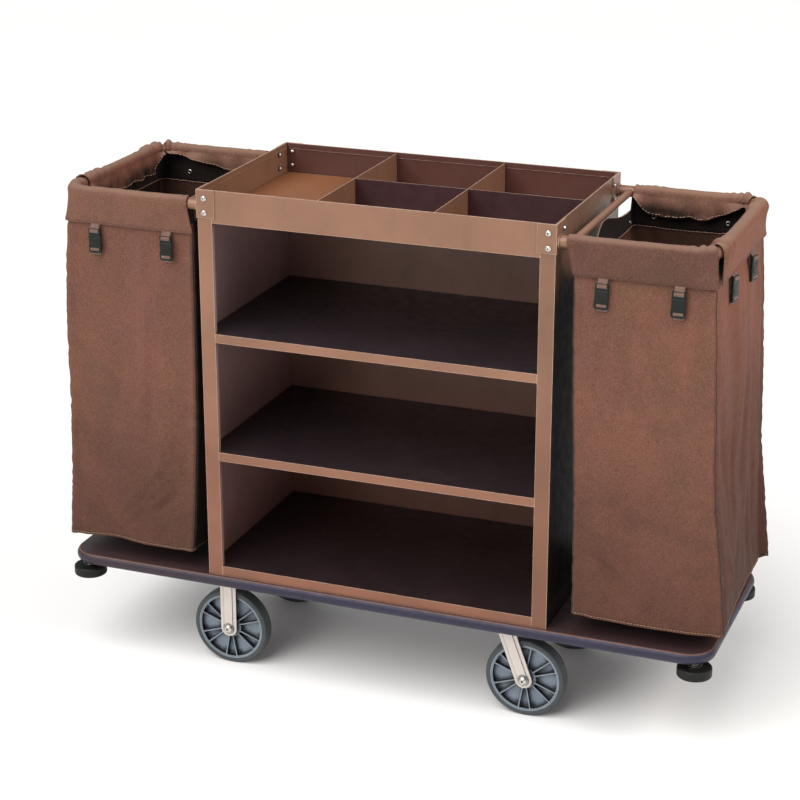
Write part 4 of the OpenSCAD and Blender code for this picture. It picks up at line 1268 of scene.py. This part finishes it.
    # Buckles on their webbing, two at the front, two at the back and two on the outer side.
    spots = []
    for x in BUCKLE_X[label]:
        for end in (-1, 1):
            spots.append((Vector((side * x, end * BUCKLE_FACE_Y, 0)), Vector((0, end, 0))))
    for y in BUCKLE_Y:
        spots.append((Vector((side * BUCKLE_FACE_X, y, 0)), Vector((side, 0, 0))))
    buckle_points = []
    buckle_faces = []
    straps = []
    patch_lines = []
    for number, (face, out) in enumerate(spots):
        twist = random.uniform(-0.04, 0.04)
        if abs(out.x) > 0.5:
            twist -= 0.20 * side
            face = face + out * 0.0012
        face = face + out * max(0.0, wall_reach(points, face, out) + 0.0010)
        out = Vector((out.x * math.cos(twist) - out.y * math.sin(twist),
                      out.x * math.sin(twist) + out.y * math.cos(twist), 0))
        across = Vector((0, 0, 1)).cross(out)
        top = BUCKLE_TOP_Z + (0.003 if abs(out.x) > 0.5 else 0.0)
        tilt = random.uniform(-0.045, 0.045)
        start = len(buckle_points)
        for p in BUCKLE_POINTS:
            w = p.x * math.cos(tilt) + p.z * math.sin(tilt)
            h = -p.x * math.sin(tilt) + p.z * math.cos(tilt)
            q = face + out * (0.0045 - p.y) + across * w
            buckle_points.append(Vector((q.x, q.y, top + h)))
        buckle_faces += [tuple(start + i for i in f) for f in BUCKLE_FACES]
        straps.append(
            webbing_loop(f"bag_{label}_strap_top_{number}", face, out, across, top - 0.0062, -0.0010, 0.0084)
        )
        straps.append(
            threaded_strap(f"bag_{label}_strap_low_{number}", face, out, across, top - 0.046, 0.0077)
        )
    buckles = bar_of(buckle_points, buckle_faces, f"bag_{label}_buckles", BUCKLE)
    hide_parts("buckle_bodies", "buckle_tongues")
    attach(buckles, "root")

    # Press studs in the binding band.
    stud_points = []
    stud_faces = []
    for kind, share in (("back", 0.86), ("back", 0.2), ("outer", 0.5), ("outer", 0.12), ("front", 0.8), ("inner", 0.06)):
        counts = {"inner": LONG_COLUMNS, "outer": LONG_COLUMNS}
        c = WALL_STARTS[kind] + int(share * counts.get(kind, SHORT_COLUMNS))
        index = (outside_rows + 5) * COLUMNS + c
        p = band_points[index]
        inward = {"back": (0, -1, 0), "front": (0, 1, 0), "outer": (-side, 0, 0), "inner": (side, 0, 0)}[kind]
        disc(stud_points, stud_faces, p + Vector(inward) * 0.0008, Vector(inward), 0.0062, 0.0022, 0.0022)
    studs = make_mesh(f"bag_{label}_studs", stud_points, stud_faces, STEEL)

    extra = [edge_piping, foot_piping, body_stitches, foot_stitches, band_stitches, cuff_stitches, tail_stitches]
    for piece in [walls, base, band, studs, *extra, *pieces, *straps]:
        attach(piece, "root")
    for made, flat, hem, above, tail, rims in cuffs:
        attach(made, "root")
        own = [p for p in pieces if p.name == made.name + "_hem"]
        if made.name.endswith("front"):
            own += [cuff_stitches, tail_stitches]


build_bag("right", 1, 3.7)
build_bag("left", -1, 11.3)


# ---------------------------------------------------------------- floor, light and camera


def floor_material():
    s = Shade("pale_floor")
    cloud = s.ramp(s.noise(0.7, 3.0), 0.3, 0.7)
    colour = s.mix(cloud, (0.90, 0.90, 0.90), (0.88, 0.88, 0.885))
    roughness = s.ramp(s.noise(3.0, 3.0), 0.3, 0.7, 0.8, 0.9)
    return s.finish(colour, roughness, s.bump(s.noise(60.0, 3.0), 0.05, 0.0005))


half = 14.0
floor = make_mesh(
    "studio_floor",
    [(-half, -half, 0), (half, -half, 0), (half, half, 0), (-half, half, 0)],
    [(0, 1, 2, 3)],
    floor_material(),
)

world = bpy.data.worlds.new("studio")
world.use_nodes = True
world.node_tree.nodes["Background"].inputs["Color"].default_value = (1.0, 1.0, 1.0, 1.0)
world.node_tree.nodes["Background"].inputs["Strength"].default_value = 0.42
bpy.context.scene.world = world


def add_light(name, kind, place, target, power, size=1.0, colour=(1, 1, 1)):
    light = bpy.data.lights.new(name, kind)
    light.energy = power
    light.color = colour
    if kind == "AREA":
        light.shape = "DISK"
        light.size = size
    else:
        light.angle = size
    holder = bpy.data.objects.new(name, light)
    holder.location = place
    holder.rotation_euler = (Vector(target) - Vector(place)).to_track_quat("-Z", "Y").to_euler()
    bpy.context.scene.collection.objects.link(holder)
    return holder


add_light("key_sun", "SUN", (-1.6, -3.4, 5.2), (0, 0, 0.6), 3.0, math.radians(58), (1.0, 0.985, 0.96))
add_light("front_card", "AREA", (-1.2, -4.0, 2.3), (0, 0, 0.9), 22, 1.6, (1.0, 0.97, 0.93))
add_light("side_card", "AREA", (3.4, -0.6, 3.1), (0.4, 0, 0.9), 75, 1.6, (1.0, 0.96, 0.92))

camera_data = bpy.data.cameras.new("camera")
camera_data.sensor_width = 36
camera_data.lens = 95.06
camera_data.clip_start = 0.05
camera_data.clip_end = 60
camera = bpy.data.objects.new("camera", camera_data)
camera.location = (1.5763, -4.1431, 2.2426)
camera.rotation_euler = (math.radians(90 - 19.99), 0, math.radians(21.15))
bpy.context.scene.collection.objects.link(camera)
bpy.context.scene.camera = camera
bpy.context.scene.view_settings.view_transform = "Standard"
